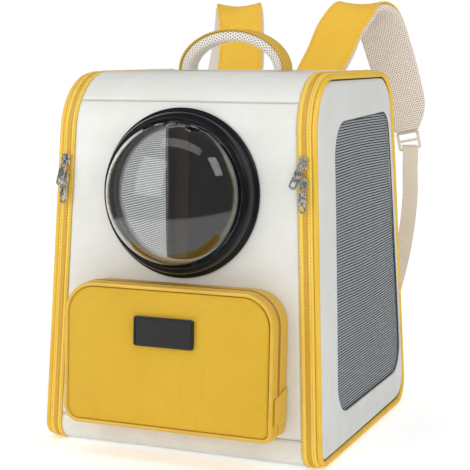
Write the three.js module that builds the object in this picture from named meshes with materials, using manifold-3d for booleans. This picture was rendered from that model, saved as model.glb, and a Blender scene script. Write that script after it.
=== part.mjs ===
// Pet carrier backpack with a clear bubble window, a zipped front pocket and padded shoulder straps.
// Millimetres, +Z up, the front faces -Y. The origin is the middle of the base, at the floor.
import * as THREE from 'three';
import { mergeVertices } from 'three/addons/utils/BufferGeometryUtils.js';
import Module from 'manifold-3d';

// Body: outside sizes at the floor and at the top, and the corners of its side outline
const BODY_HEIGHT = 420;
const BASE_WIDTH = 337;
const TOP_WIDTH = 300;
const BASE_DEPTH = 336;
const TOP_DEPTH = 290;
const BASE_FRONT_RADIUS = 22;
const TOP_FRONT_RADIUS = 68;
const TOP_BACK_RADIUS = 46;
const BASE_BACK_RADIUS = 34;
const ARC_STEPS = 8;
const WALL = 3;
const BACK_PAD = 9;
const GAP = 0.3;

// Seams that part the wrap into front, top, back and base: heights of the two low ones, and how far
// the two high ones lie below the top
const LOWER_SEAM_HEIGHT = 33;
const BACK_BASE_SEAM_HEIGHT = 30;
const UPPER_SEAM_DROP = 31;
const BACK_SEAM_DROP = 14;

// Zip band along each side edge, with its coil and the piping outside it
const BAND_WIDTH = 21.5;
const BAND_FALL = 2;
const PIPING_DIAMETER = 6;
const PIPING_SIDES = 8;
const COIL_WIDTH = 4.6;
const COIL_HEIGHT = 1.6;
const COIL_INSET = 13.75;

// Side panel and its mesh window, in the side view
const SIDE_RECESS = 2.5;
const WINDOW_TOP_MARGIN = 55;
const WINDOW_BOTTOM = 46;
const WINDOW_FRONT_MARGIN = 59;
const WINDOW_BACK_MARGIN = 27;
const WINDOW_RADIUS = 30;
const MESH_THICKNESS = 1.2;
const MESH_OVERLAP = 8;

// Bubble window, centred so far below the top: rolled ring and clear dome with its row of air holes
const RING_DROP = 130;
const RING_RADIUS = 92.5;
const RING_LIP = 19.5;
const FLANGE_WIDTH = 4.5;
const FLANGE_THICKNESS = 4;
const DOME_RADIUS = 77.9;
const DOME_DEPTH = 50;
const DOME_WALL = 2.5;
const DOME_SEAT = 4.5;
const VENT_DIAMETER = 14;
const VENT_RISE = 11;
const VENT_SPREAD = 20;
const VENT_COUNT = 3;
const ROUND_STEPS = 48;
const DOME_STEPS = 9;

// Front pocket
const POCKET_WIDTH = 246;
const POCKET_OFFSET = 4;
const POCKET_BOTTOM = 36;
const POCKET_TOP = 192;
const POCKET_DEPTH = 42;
const POCKET_TOP_RADIUS = 36;
const POCKET_BOTTOM_RADIUS = 18;
const POCKET_ARC_STEPS = 6;
const POCKET_BULGE = 5;
const FACE_SINK = 1;
const POCKET_PIPING_DIAMETER = 4.5;
const POCKET_ZIP_WIDTH = 5;
const POCKET_ZIP_DEPTH = 25;
const PATCH_HEIGHT = 46;
const PATCH_SLOPE = 8;
const PATCH_THICKNESS = 1;
const LABEL_WIDTH = 70;
const LABEL_HEIGHT = 32;
const LABEL_THICKNESS = 2.2;
const LABEL_CENTRE_HEIGHT = 144;

// Sliders and pulls of the two side zips, by how far each slider stands below the top. Where two
// sliders sit close together, the upper pull leans aside of the lower one or swings out over it.
const SLIDER_WIDTH = 8.5;
const SLIDER_LENGTH = 13;
const SLIDER_THICKNESS = 4;
const BRIDGE_WIDTH = 2;
const BRIDGE_RISE = 5;
const BRIDGE_LENGTH = 8;
const BRIDGE_BAR = 1.3;
const PULL_WIDTH = 8.5;
const PULL_LENGTH = 29;
const PULL_THICKNESS = 1.6;
const PULL_EYE_LENGTH = 6.8;
const PULL_EYE_WIDTH = 5;
const PULL_BAR = 1.4;
const PULL_CLEARANCE = 0.8;
const PULL_TIP = 5;
const PULL_SLOT = [8, 3.5];
const SLIDERS = [
  { name: 'left_upper', side: -1, drop: 98, tilt: 0, swing: 20 },
  { name: 'left_lower', side: -1, drop: 117, tilt: 0, swing: 0 },
  { name: 'right_upper', side: 1, drop: 93, tilt: 23, swing: 0 },
  { name: 'right_lower', side: 1, drop: 115, tilt: 0, swing: 0 },
];

// Carry handle on the top
const HANDLE_SPAN = 134;
const HANDLE_RISE = 48;
const HANDLE_WIDTH = 28;
const HANDLE_PAD = 12;
const HANDLE_COVER = 2;
const HANDLE_STEPS = 20;

// Shoulder straps: width, layers, and the route of the right one, which the left one mirrors. Each point
// of it lies so far outwards of the strap's seam, behind the body's top and above it.
const STRAP_WIDTH = 60;
const STRAP_END_WIDTH = 30;
const STRAP_TAPER = 0.13;
const STRAP_COVER = 3;
const STRAP_PAD = 9;
const STRAP_STEPS = 26;
const STRAP_SPACING = 108;
const STRAP_RISE = 12;
const STRAP_ROUTE = [
  { across: 7, behind: 21, above: 22 },
  { across: 16, behind: 43, above: 56 },
  { across: 30, behind: 71, above: 79 },
  { across: 44, behind: 97, above: 68 },
  { across: 58, behind: 113, above: 24 },
  { across: 72, behind: 117, above: -28 },
  { across: 84, behind: 115, above: -82 },
];
const STRAP_TWIST = 20;

// Webbing below each strap, its ladder buckle and the tab on the back panel. Each point of the webbing's
// route lies so far outwards of the tab, behind the base, and up, as a share of the body's height.
const WEBBING_WIDTH = 20;
const WEBBING_THICKNESS = 1.8;
const WEBBING_STEPS = 26;
const WEBBING_TAIL = 8;
const WEBBING_ROUTE = [
  { across: 19, behind: 90, up: 0.68 },
  { across: 19, behind: 92, up: 0.6 },
  { across: 16, behind: 86, up: 0.48 },
  { across: 11, behind: 68, up: 0.36 },
  { across: 5, behind: 38, up: 0.25 },
];
const BUCKLE_WIDTH = 30;
const BUCKLE_HEIGHT = 25;
const BUCKLE_THICKNESS = 3.5;
const BUCKLE_BAR = 3.5;
const TAB_MARGIN = 41;
const TAB_CENTRE_HEIGHT = 60;
const TAB_WIDTH = 36;
const TAB_HEIGHT = 40;
const TAB_THICKNESS = 2.4;

const wasm = await Module();
wasm.setup();

const WHITE = { color: 0xe9e8e1, roughness: 0.5, metalness: 0 };
const PANEL_GREY = { color: 0xcdcfcb, roughness: 0.6, metalness: 0 };
const YELLOW = { color: 0xf1bd33, roughness: 0.6, metalness: 0 };
const DEEP_YELLOW = { color: 0xe6ae2c, roughness: 0.65, metalness: 0 };
const BEIGE = { color: 0xd2c3af, roughness: 0.9, metalness: 0 };
const MESH_GREY = { color: 0x7a8083, roughness: 0.8, metalness: 0 };
const BLACK = { color: 0x14181e, roughness: 0.25, metalness: 0 };
const CLEAR = { color: 0xdfe6ea, roughness: 0.05, metalness: 0 };
const CHROME = { color: 0xc9cbd0, roughness: 0.15, metalness: 1 };

const lean = Math.atan2((BASE_DEPTH - TOP_DEPTH) / 2, BODY_HEIGHT);
const halfWidth = z => THREE.MathUtils.lerp(BASE_WIDTH, TOP_WIDTH, z / BODY_HEIGHT) / 2;
const pipingRadius = PIPING_DIAMETER / 2;
const radians = THREE.MathUtils.degToRad;

const pack = new THREE.Group();
// The frame of the leaning front: x across, y up the slope, z straight out of it
const front = new THREE.Group();
front.position.y = -BASE_DEPTH / 2;
front.rotation.x = Math.PI / 2 - lean;
pack.add(front);
const upFront = height => height / Math.cos(lean);

function add(name, geometry, look, parent = pack) {
  const mesh = new THREE.Mesh(geometry, new THREE.MeshStandardMaterial(look));
  mesh.name = name;
  parent.add(mesh);
  return mesh;
}

// A geometry with only merged positions, its faces turned outwards
function closed(geometry) {
  geometry.deleteAttribute('normal');
  geometry.deleteAttribute('uv');
  const solid = mergeVertices(geometry, 1e-4);
  const position = solid.attributes.position;
  const index = solid.index.array;
  const [a, b, c] = [new THREE.Vector3(), new THREE.Vector3(), new THREE.Vector3()];
  let volume = 0;
  for (let i = 0; i < index.length; i += 3) {
    a.fromBufferAttribute(position, index[i]);
    b.fromBufferAttribute(position, index[i + 1]);
    c.fromBufferAttribute(position, index[i + 2]);
    volume += a.dot(b.cross(c));
  }
  if (volume < 0) index.reverse();
  return solid;
}

// A box whose corners and subdivisions are laid out by place(u, v, w), each from 0 to 1
function formed([nu, nv, nw], place) {
  const box = new THREE.BoxGeometry(1, 1, 1, nu, nv, nw);
  const position = box.attributes.position;
  for (let i = 0; i < position.count; i += 1) {
    const point = place(position.getX(i) + 0.5, position.getY(i) + 0.5, position.getZ(i) + 0.5);
    position.setXYZ(i, point.x, point.y, point.z);
  }
  return closed(box);
}

// A closed loop: each corner of a section is carried past every station by place(station, corner)
function looped(stations, section, place) {
  const torus = new THREE.TorusGeometry(2, 1, section.length, stations.length);
  const position = torus.attributes.position;
  for (let j = 0; j <= section.length; j += 1) {
    for (let i = 0; i <= stations.length; i += 1) {
      const point = place(stations[i % stations.length], section[j % section.length]);
      position.setXYZ(j * (stations.length + 1) + i, point.x, point.y, point.z);
    }
  }
  return closed(torus);
}

function toManifold(geometry) {
  const { position } = geometry.attributes;
  return new wasm.Manifold(new wasm.Mesh({
    numProp: 3,
    vertProperties: new Float32Array(position.array),
    triVerts: new Uint32Array(geometry.index.array),
  }));
}

function fromManifold(solid) {
  const { vertProperties, triVerts } = solid.getMesh();
  const geometry = new THREE.BufferGeometry();
  geometry.setAttribute('position', new THREE.BufferAttribute(new Float32Array(vertProperties), 3));
  geometry.setIndex(new THREE.BufferAttribute(new Uint32Array(triVerts), 1));
  return geometry;
}

// The geometry with each of the cutters taken out
function cut(geometry, cutters) {
  let solid = toManifold(geometry);
  for (const cutter of cutters) solid = solid.subtract(toManifold(cutter));
  return fromManifold(solid);
}

// A round cutter through the origin along +Y, moved by a matrix
function bore(radius, length, matrix) {
  return closed(new THREE.CylinderGeometry(radius, radius, length, ROUND_STEPS).applyMatrix4(matrix));
}

// Side outline of the body in the YZ plane, from the base up the front, over the top and down the back
const corners = [
  { y: -BASE_DEPTH / 2, z: 0, radius: BASE_FRONT_RADIUS },
  { y: -TOP_DEPTH / 2, z: BODY_HEIGHT, radius: TOP_FRONT_RADIUS },
  { y: TOP_DEPTH / 2, z: BODY_HEIGHT, radius: TOP_BACK_RADIUS },
  { y: BASE_DEPTH / 2, z: 0, radius: BASE_BACK_RADIUS },
];

function sideStations() {
  const list = [];
  corners.forEach((corner, i) => {
    const before = corners[(i + 3) % 4];
    const after = corners[(i + 1) % 4];
    const into = new THREE.Vector2(corner.y - before.y, corner.z - before.z).normalize();
    const away = new THREE.Vector2(after.y - corner.y, after.z - corner.z).normalize();
    const turn = Math.acos(into.dot(away));
    const back = corner.radius * Math.tan(turn / 2);
    const normal = new THREE.Vector2(-into.y, into.x);
    const centre = new THREE.Vector2(corner.y, corner.z)
      .addScaledVector(into, -back).addScaledVector(normal, -corner.radius);
    for (let k = 0; k <= ARC_STEPS; k += 1) {
      const n = normal.clone().rotateAround(new THREE.Vector2(), -turn * k / ARC_STEPS);
      list.push({ y: centre.x + n.x * corner.radius, z: centre.y + n.y * corner.radius, ny: n.x, nz: n.y });
    }
  });
  return list;
}

function between(a, b, share) {
  const mix = key => THREE.MathUtils.lerp(a[key], b[key], share);
  return { y: mix('y'), z: mix('z'), ny: mix('ny'), nz: mix('nz') };
}

// Adds a station where the front or the back of the outline passes a height
function addSeam(list, height, isFront) {
  const at = list.findIndex((a, i) => {
    const b = list[(i + 1) % list.length];
    const onSide = isFront ? a.y < 0 && b.y < 0 : a.y > 0 && b.y > 0;
    return onSide && (a.z - height) * (b.z - height) < 0;
  });
  const [a, b] = [list[at], list[(at + 1) % list.length]];
  const seam = between(a, b, (height - a.z) / (b.z - a.z));
  list.splice(at + 1, 0, seam);
  return seam;
}

const outline = sideStations();
const lowerSeam = addSeam(outline, LOWER_SEAM_HEIGHT, true);
const upperSeam = addSeam(outline, BODY_HEIGHT - UPPER_SEAM_DROP, true);
const backSeam = addSeam(outline, BODY_HEIGHT - BACK_SEAM_DROP, false);
const backBaseSeam = addSeam(outline, BACK_BASE_SEAM_HEIGHT, false);

// The stations from one seam to the next, drawn in by half a gap at both ends
function stretch(from, to) {
  const start = outline.indexOf(from);
  const count = (outline.indexOf(to) - start + outline.length) % outline.length;
  const run = Array.from({ length: count + 1 }, (_, i) => outline[(start + i) % outline.length]);
  const step = (a, b) => GAP / 2 / Math.hypot(b.y - a.y, b.z - a.z);
  const first = between(run[0], run[1], step(run[0], run[1]));
  const last = between(run[count], run[count - 1], step(run[count], run[count - 1]));
  return [first, ...run.slice(1, count), last];
}

// A point of the wrap: inset from the side edge, depth along the outline's normal
function wrapPoint(station, side, inset, depth) {
  const z = station.z + station.nz * depth;
  return new THREE.Vector3(side * (halfWidth(z) - inset), station.y + station.ny * depth, z);
}

// A panel of the wrap between two seams, as wide as the zip bands leave it
function wrapPanel(from, to, wall) {
  const run = stretch(from, to);
  return formed([1, run.length - 1, 1], (u, v, w) => {
    const station = run[Math.round(v * (run.length - 1))];
    return wrapPoint(station, u < 0.5 ? -1 : 1, BAND_WIDTH, -wall * (1 - w));
  });
}

// How far the zip band's face lies below the panels at an inset from the side edge
const bandDrop = inset => BAND_FALL * (BAND_WIDTH - inset) / (BAND_WIDTH - PIPING_DIAMETER);
const bandTurn = Math.atan2(BAND_FALL, BAND_WIDTH - PIPING_DIAMETER);

// Front panel with the round hole behind the bubble
const ringHeight = BODY_HEIGHT - RING_DROP;
const holeRadius = DOME_RADIUS - DOME_SEAT;
const holeMatrix = new THREE.Matrix4().makeTranslation(0, -BASE_DEPTH / 2, 0)
  .multiply(new THREE.Matrix4().makeRotationX(-lean))
  .multiply(new THREE.Matrix4().makeTranslation(0, 0, upFront(ringHeight)));
const frontHole = bore(holeRadius, BODY_HEIGHT / 4, holeMatrix);
add('front_panel', cut(wrapPanel(lowerSeam, upperSeam, WALL), [frontHole]), WHITE);
add('top_panel', wrapPanel(upperSeam, backSeam, WALL), WHITE);
add('back_panel', wrapPanel(backSeam, backBaseSeam, BACK_PAD), WHITE);
add('base_panel', wrapPanel(backBaseSeam, lowerSeam, WALL), WHITE);

// Closed shape of a run of YZ stations at a depth
function outlineShape(depth) {
  return new THREE.Shape(outline.map(s => new THREE.Vector2(s.y + s.ny * depth, s.z + s.nz * depth)));
}

// A quadrilateral path with round corners
function roundedPath(points, radii, PathClass = THREE.Path) {
  const path = new PathClass();
  points.forEach((corner, i) => {
    const before = points[(i + points.length - 1) % points.length];
    const after = points[(i + 1) % points.length];
    const into = before.clone().sub(corner).normalize().multiplyScalar(radii[i]).add(corner);
    const away = after.clone().sub(corner).normalize().multiplyScalar(radii[i]).add(corner);
    if (i === 0) path.moveTo(into.x, into.y);
    else path.lineTo(into.x, into.y);
    path.quadraticCurveTo(corner.x, corner.y, away.x, away.y);
  });
  path.closePath();
  return path;
}

const edgeY = (z, sign) => sign * THREE.MathUtils.lerp(BASE_DEPTH, TOP_DEPTH, z / BODY_HEIGHT) / 2;

function windowPath(grow, PathClass) {
  const [low, high] = [WINDOW_BOTTOM - grow, BODY_HEIGHT - WINDOW_TOP_MARGIN + grow];
  const frontEdge = z => edgeY(z, -1) + WINDOW_FRONT_MARGIN - grow;
  const backEdge = z => edgeY(z, 1) - WINDOW_BACK_MARGIN + grow;
  const points = [new THREE.Vector2(frontEdge(low), low), new THREE.Vector2(backEdge(low), low),
    new THREE.Vector2(backEdge(high), high), new THREE.Vector2(frontEdge(high), high)];
  return roundedPath(points, points.map(() => WINDOW_RADIUS + grow), PathClass);
}

// A flat sheet of the side, from a YZ shape, between two insets from the side edge
function sideSheet(shape, side, inset, thickness) {
  const sheet = new THREE.ExtrudeGeometry(shape, { depth: 1, bevelEnabled: false, curveSegments: 6 });
  const position = sheet.attributes.position;
  for (let i = 0; i < position.count; i += 1) {
    const [y, z, share] = [position.getX(i), position.getY(i), position.getZ(i)];
    position.setXYZ(i, side * (halfWidth(z) - inset - thickness * share), y, z);
  }
  return closed(sheet);
}

for (const [side, tag] of [[-1, 'left'], [1, 'right']]) {
  const onWrap = (station, corner) => wrapPoint(station, side, corner.inset, corner.depth);
  const [inner, outer] = [BAND_WIDTH - GAP, PIPING_DIAMETER + GAP];
  const bandSection = [
    { inset: inner, depth: -bandDrop(inner) }, { inset: outer, depth: -bandDrop(outer) },
    { inset: outer, depth: -bandDrop(outer) - WALL }, { inset: inner, depth: -bandDrop(inner) - WALL },
  ];
  add(`zip_band_${tag}`, looped(outline, bandSection, onWrap), YELLOW);
  const pipingSection = Array.from({ length: PIPING_SIDES }, (_, k) => ({
    inset: pipingRadius * (1 + Math.cos(2 * Math.PI * k / PIPING_SIDES)),
    depth: -BAND_FALL - pipingRadius * (1 + Math.sin(2 * Math.PI * k / PIPING_SIDES)),
  }));
  add(`side_piping_${tag}`, looped(outline, pipingSection, onWrap), YELLOW);

  // The coil runs from the foot of the front, where it is clear of the floor, over the top to the back seam
  const coilRun = stretch(outline[ARC_STEPS / 2], backSeam);
  add(`zip_coil_${tag}`, formed([1, coilRun.length - 1, 1], (u, v, w) => {
    const inset = COIL_INSET + (u - 0.5) * COIL_WIDTH;
    return wrapPoint(coilRun[Math.round(v * (coilRun.length - 1))], side, inset,
      GAP - bandDrop(inset) + w * COIL_HEIGHT);
  }), DEEP_YELLOW);

  const sideShape = outlineShape(-BAND_FALL - PIPING_DIAMETER - GAP);
  sideShape.holes.push(windowPath(0, THREE.Path));
  add(`side_panel_${tag}`, sideSheet(sideShape, side, SIDE_RECESS, WALL), PANEL_GREY);
  add(`side_mesh_${tag}`, sideSheet(windowPath(MESH_OVERLAP, THREE.Shape), side,
    SIDE_RECESS + WALL + GAP, MESH_THICKNESS), MESH_GREY);
}

// Bubble window, turned about the normal of the front
const bubble = new THREE.Group();
bubble.position.set(0, upFront(ringHeight), 0);
bubble.rotation.x = Math.PI / 2;
front.add(bubble);

const lipBase = RING_RADIUS - FLANGE_WIDTH;
const ringInner = DOME_RADIUS + GAP;
const lipMiddle = (lipBase + ringInner) / 2;
const ringSection = [
  [ringInner, GAP], [RING_RADIUS, GAP], [RING_RADIUS, FLANGE_THICKNESS * 0.6],
  [RING_RADIUS - FLANGE_WIDTH * 0.3, FLANGE_THICKNESS], [lipBase, FLANGE_THICKNESS + 1],
  [lipBase - 0.6, RING_LIP * 0.55], [lipBase - 2.4, RING_LIP * 0.82], [lipMiddle, RING_LIP],
  [ringInner + 1, RING_LIP - 0.6], [ringInner, RING_LIP - 2],
].map(([r, h]) => new THREE.Vector2(r, h));
ringSection.push(ringSection[0].clone());
add('dome_ring', closed(new THREE.LatheGeometry(ringSection, ROUND_STEPS)), BLACK, bubble);

const domeBase = RING_LIP - 1;
function domeArc(inset) {
  return Array.from({ length: DOME_STEPS + 1 }, (_, k) => {
    const angle = k / DOME_STEPS * Math.PI / 2;
    const [reach, rise] = [DOME_RADIUS - inset, DOME_DEPTH - inset];
    return new THREE.Vector2(reach * Math.cos(angle), domeBase + rise * Math.sin(angle));
  });
}
const domeSection = [...domeArc(0).reverse(), new THREE.Vector2(DOME_RADIUS, GAP),
  new THREE.Vector2(DOME_RADIUS - DOME_WALL, GAP), ...domeArc(DOME_WALL)];
domeSection[0].x = 0;
domeSection[domeSection.length - 1].x = 0;

// Air holes in a row near the top of the dome, each bored square to its surface
const ventAngle = Math.asin(VENT_RISE / DOME_DEPTH);
const ventNormal = Math.atan2(Math.sin(ventAngle) / DOME_DEPTH, Math.cos(ventAngle) / DOME_RADIUS);
const vents = Array.from({ length: VENT_COUNT }, (_, k) => {
  const roll = radians(VENT_SPREAD * (k - (VENT_COUNT - 1) / 2));
  const reach = DOME_RADIUS * Math.cos(ventAngle);
  const matrix = new THREE.Matrix4().makeRotationY(roll)
    .multiply(new THREE.Matrix4().makeTranslation(0, domeBase + VENT_RISE, -reach))
    .multiply(new THREE.Matrix4().makeRotationX(-Math.PI / 2 + ventNormal));
  return bore(VENT_DIAMETER / 2, DOME_WALL * 6, matrix);
});
add('dome_bubble', cut(closed(new THREE.LatheGeometry(domeSection, ROUND_STEPS)), vents), CLEAR, bubble);

// Front pocket: the points of its rounded outline, with outward normals
const pocketLow = upFront(POCKET_BOTTOM);
const pocketHigh = upFront(POCKET_TOP);
const pocketCentre = new THREE.Vector2(POCKET_OFFSET, (pocketLow + pocketHigh) / 2);

function pocketStations() {
  const halves = [POCKET_WIDTH / 2, (pocketHigh - pocketLow) / 2];
  const list = [];
  for (const [sx, sy, radius] of [[1, 1, POCKET_TOP_RADIUS], [-1, 1, POCKET_TOP_RADIUS],
    [-1, -1, POCKET_BOTTOM_RADIUS], [1, -1, POCKET_BOTTOM_RADIUS]]) {
    const start = Math.atan2(sy, sx) - Math.PI / 4;
    for (let k = 0; k <= POCKET_ARC_STEPS; k += 1) {
      const angle = start + k / POCKET_ARC_STEPS * Math.PI / 2;
      const [nx, ny] = [Math.cos(angle), Math.sin(angle)];
      const [cx, cy] = [sx * (halves[0] - radius), sy * (halves[1] - radius)];
      list.push({ nx, ny, x: cx + radius * nx, y: cy + radius * ny });
    }
  }
  return list;
}
const pocketOutline = pocketStations();
const pocket = new THREE.Group();
pocket.position.set(pocketCentre.x, pocketCentre.y, 0);
front.add(pocket);
const pocketPoint = (s, { out, depth }) => new THREE.Vector3(s.x + s.nx * out, s.y + s.ny * out, depth);

const pocketPipe = POCKET_PIPING_DIAMETER / 2;
const gussetTop = POCKET_DEPTH - pocketPipe * 2 - GAP;
const gussetSection = [[0, GAP], [0, gussetTop], [-WALL, gussetTop], [-WALL, GAP]]
  .map(([out, depth]) => ({ out, depth }));
add('pocket_gusset', looped(pocketOutline, gussetSection, pocketPoint), YELLOW, pocket);
const pocketPipingSection = Array.from({ length: PIPING_SIDES }, (_, k) => ({
  out: pocketPipe * (Math.cos(2 * Math.PI * k / PIPING_SIDES) - 1),
  depth: POCKET_DEPTH + pocketPipe * (Math.sin(2 * Math.PI * k / PIPING_SIDES) - 1),
}));
add('pocket_piping', looped(pocketOutline, pocketPipingSection, pocketPoint), YELLOW, pocket);

// The face is a soft cushion inside the piping: rings of the outline, shrunk and raised
function pocketFace() {
  const inset = POCKET_PIPING_DIAMETER + GAP;
  const rings = [0, 0.35, 0.65, 0.88, 1];
  const profile = [...rings.map(share => [share, 1]), ...rings.map(share => [share, 0]).reverse()];
  const points = profile.map(([share, side]) => new THREE.Vector2(share, side));
  const disc = new THREE.LatheGeometry(points, pocketOutline.length);
  const position = disc.attributes.position;
  for (let i = 0; i <= pocketOutline.length; i += 1) {
    const s = pocketOutline[i % pocketOutline.length];
    profile.forEach(([share, side], j) => {
      const lift = POCKET_BULGE * (1 - share * share) - WALL * (1 - side) - FACE_SINK;
      position.setXYZ(i * profile.length + j, (s.x - s.nx * inset) * share, (s.y - s.ny * inset) * share,
        POCKET_DEPTH + lift);
    });
  }
  return closed(disc);
}
add('pocket_face', pocketFace(), YELLOW, pocket);

// Zip round the sides and top of the gusset, ending at the two patches
const patchTop = -(pocketHigh - pocketLow) / 2 + PATCH_HEIGHT;
const zipRun = pocketOutline.filter(s => s.y > patchTop);
const halfPocket = POCKET_WIDTH / 2;
const zipStations = [{ x: halfPocket, y: patchTop + GAP, nx: 1, ny: 0 }, ...zipRun,
  { x: -halfPocket, y: patchTop + GAP, nx: -1, ny: 0 }];
add('pocket_zip', formed([1, zipStations.length - 1, 1], (u, v, w) => pocketPoint(
  zipStations[Math.round(v * (zipStations.length - 1))],
  { out: GAP + w * COIL_HEIGHT, depth: POCKET_ZIP_DEPTH + (u - 0.5) * POCKET_ZIP_WIDTH },
)), DEEP_YELLOW, pocket);
for (const [side, tag] of [[-1, 'left'], [1, 'right']]) {
  const patchLow = -(pocketHigh - pocketLow) / 2 + POCKET_BOTTOM_RADIUS;
  add(`pocket_patch_${tag}`, formed([1, 1, 1], (u, v, w) => new THREE.Vector3(
    side * (halfPocket + GAP + w * PATCH_THICKNESS),
    THREE.MathUtils.lerp(patchLow, patchTop - (1 - u) * PATCH_SLOPE, v),
    THREE.MathUtils.lerp(GAP, gussetTop - GAP, u),
  )), YELLOW, pocket);
}

// Blank rubber label on the pocket face
const labelGeometry = closed(new THREE.BoxGeometry(LABEL_WIDTH, LABEL_HEIGHT, LABEL_THICKNESS));
const label = add('pocket_label', labelGeometry, BLACK, front);
const faceTop = POCKET_DEPTH + POCKET_BULGE - FACE_SINK;
label.position.set(POCKET_OFFSET, upFront(LABEL_CENTRE_HEIGHT), faceTop + GAP + LABEL_THICKNESS / 2);

// A shape extruded to a thickness, with its middle plane at z = 0
function plate(shape, thickness) {
  return closed(new THREE.ExtrudeGeometry(shape, { depth: thickness, bevelEnabled: false, curveSegments: 4 })
    .translate(0, 0, -thickness / 2));
}

// Slider: a body on the coil with a bridge that holds the bar of the pull
function sliderGeometry() {
  const half = SLIDER_LENGTH / 2;
  const side = new THREE.Shape();
  side.moveTo(-half, 0);
  side.lineTo(half, 0);
  side.lineTo(half, SLIDER_THICKNESS - 1);
  side.lineTo(half - 1, SLIDER_THICKNESS);
  side.lineTo(-half + 1, SLIDER_THICKNESS);
  side.lineTo(-half, SLIDER_THICKNESS - 1);
  const body = plate(side, SLIDER_WIDTH);
  const bridge = new THREE.Shape();
  const [reach, rise] = [BRIDGE_LENGTH / 2, SLIDER_THICKNESS + BRIDGE_RISE];
  bridge.moveTo(-reach, SLIDER_THICKNESS - 1);
  bridge.lineTo(-reach, rise - 2);
  bridge.quadraticCurveTo(-reach, rise, -reach + 2, rise);
  bridge.lineTo(reach - 2, rise);
  bridge.quadraticCurveTo(reach, rise, reach, rise - 2);
  bridge.lineTo(reach, SLIDER_THICKNESS - 1);
  const eye = new THREE.Path();
  eye.moveTo(-reach + BRIDGE_BAR, SLIDER_THICKNESS - 0.2);
  eye.lineTo(reach - BRIDGE_BAR, SLIDER_THICKNESS - 0.2);
  eye.lineTo(reach - BRIDGE_BAR, rise - BRIDGE_BAR);
  eye.lineTo(-reach + BRIDGE_BAR, rise - BRIDGE_BAR);
  bridge.holes.push(eye);
  const arch = plate(bridge, BRIDGE_WIDTH);
  const whole = toManifold(body).add(toManifold(arch));
  return fromManifold(whole).rotateX(Math.PI / 2).rotateZ(Math.PI / 2);
}

// Pull: a flat tag hanging from the bar at its origin, with an eye at the top and a slot near the tip
function pullGeometry() {
  const half = PULL_WIDTH / 2;
  const neck = PULL_EYE_WIDTH / 2 + PULL_BAR;
  const tag = new THREE.Shape();
  tag.moveTo(-neck, PULL_BAR / 2);
  tag.lineTo(neck, PULL_BAR / 2);
  tag.lineTo(neck, -PULL_EYE_LENGTH - PULL_BAR);
  tag.lineTo(half, -PULL_EYE_LENGTH - 3 * PULL_BAR);
  tag.lineTo(half, -PULL_LENGTH + PULL_TIP);
  tag.quadraticCurveTo(half, -PULL_LENGTH, 0, -PULL_LENGTH);
  tag.quadraticCurveTo(-half, -PULL_LENGTH, -half, -PULL_LENGTH + PULL_TIP);
  tag.lineTo(-half, -PULL_EYE_LENGTH - 3 * PULL_BAR);
  tag.lineTo(-neck, -PULL_EYE_LENGTH - PULL_BAR);
  const slot = (width, top, bottom) => {
    const hole = new THREE.Path();
    hole.moveTo(-width / 2, top);
    hole.lineTo(-width / 2, bottom);
    hole.lineTo(width / 2, bottom);
    hole.lineTo(width / 2, top);
    tag.holes.push(hole);
  };
  slot(PULL_EYE_WIDTH, -PULL_BAR / 2, -PULL_EYE_LENGTH);
  slot(PULL_WIDTH / 2, PULL_SLOT[0] - PULL_LENGTH, PULL_SLOT[1] - PULL_LENGTH);
  return plate(tag, PULL_THICKNESS);
}

// The bar hangs at the lower end of the bridge's eye, clear of the slider's face
const barHeight = SLIDER_THICKNESS + PULL_BAR / 2 + PULL_CLEARANCE;
const barDrop = BRIDGE_LENGTH / 2 - BRIDGE_BAR - PULL_BAR / 2 - PULL_CLEARANCE;
for (const { name, side, drop, tilt, swing } of SLIDERS) {
  const seat = new THREE.Group();
  const height = BODY_HEIGHT - drop;
  const across = side * (halfWidth(height) - COIL_INSET);
  seat.position.set(across, upFront(height), COIL_HEIGHT + 2 * GAP - bandDrop(COIL_INSET));
  seat.rotation.y = side * bandTurn;
  front.add(seat);
  add(`zip_slider_${name}`, sliderGeometry(), CHROME, seat);
  const pull = add(`zip_pull_${name}`, pullGeometry(), CHROME, seat);
  pull.position.set(0, -barDrop, barHeight);
  pull.rotation.set(-radians(swing), 0, -radians(tilt));
}

// Carry handle: a padded arch with a cover strap on its outside
function handleBand(inner, outer, width) {
  const halfSpan = HANDLE_SPAN / 2;
  return formed([HANDLE_STEPS, 1, 1], (u, v, w) => {
    const angle = Math.PI * (1 - u);
    const normal = new THREE.Vector2(Math.cos(angle) / halfSpan, Math.sin(angle) / HANDLE_RISE).normalize();
    const depth = THREE.MathUtils.lerp(inner, outer, w);
    return new THREE.Vector3(halfSpan * Math.cos(angle) + normal.x * depth, (v - 0.5) * width,
      BODY_HEIGHT + GAP + HANDLE_RISE * Math.sin(angle) + normal.y * depth);
  });
}
add('handle_cover', handleBand(-HANDLE_COVER, 0, HANDLE_WIDTH), YELLOW);
add('handle_pad', handleBand(-HANDLE_COVER - GAP - HANDLE_PAD, -HANDLE_COVER - GAP, HANDLE_WIDTH), BEIGE);

const routeCurve = points => new THREE.CatmullRomCurve3(points, false, 'centripetal');

// The frame of a ribbon at a share of its route: across it, along it and out of its outer face
function ribbonFrame(curve, share, twist) {
  const along = curve.getTangentAt(share);
  const turn = radians(THREE.MathUtils.lerp(twist[0], twist[1], share));
  const across = new THREE.Vector3(Math.cos(turn), Math.sin(turn), 0);
  across.addScaledVector(along, -across.dot(along)).normalize();
  const outward = new THREE.Vector3().crossVectors(across, along);
  return { centre: curve.getPointAt(share), along, across, outward };
}

// A ribbon on the right or mirrored to the left. Its layer runs from one depth to another along its
// outward side, and two layers that touch both start at the face they share, so that their facets match.
function ribbon(curve, side, steps, [low, high], widthAt, twist) {
  return formed([1, steps, 1], (u, v, w) => {
    const { centre, across, outward } = ribbonFrame(curve, v, twist);
    centre.addScaledVector(across, (u - 0.5) * widthAt(v));
    centre.addScaledVector(outward, THREE.MathUtils.lerp(low, high, w));
    centre.x *= side;
    return centre;
  });
}

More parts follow.
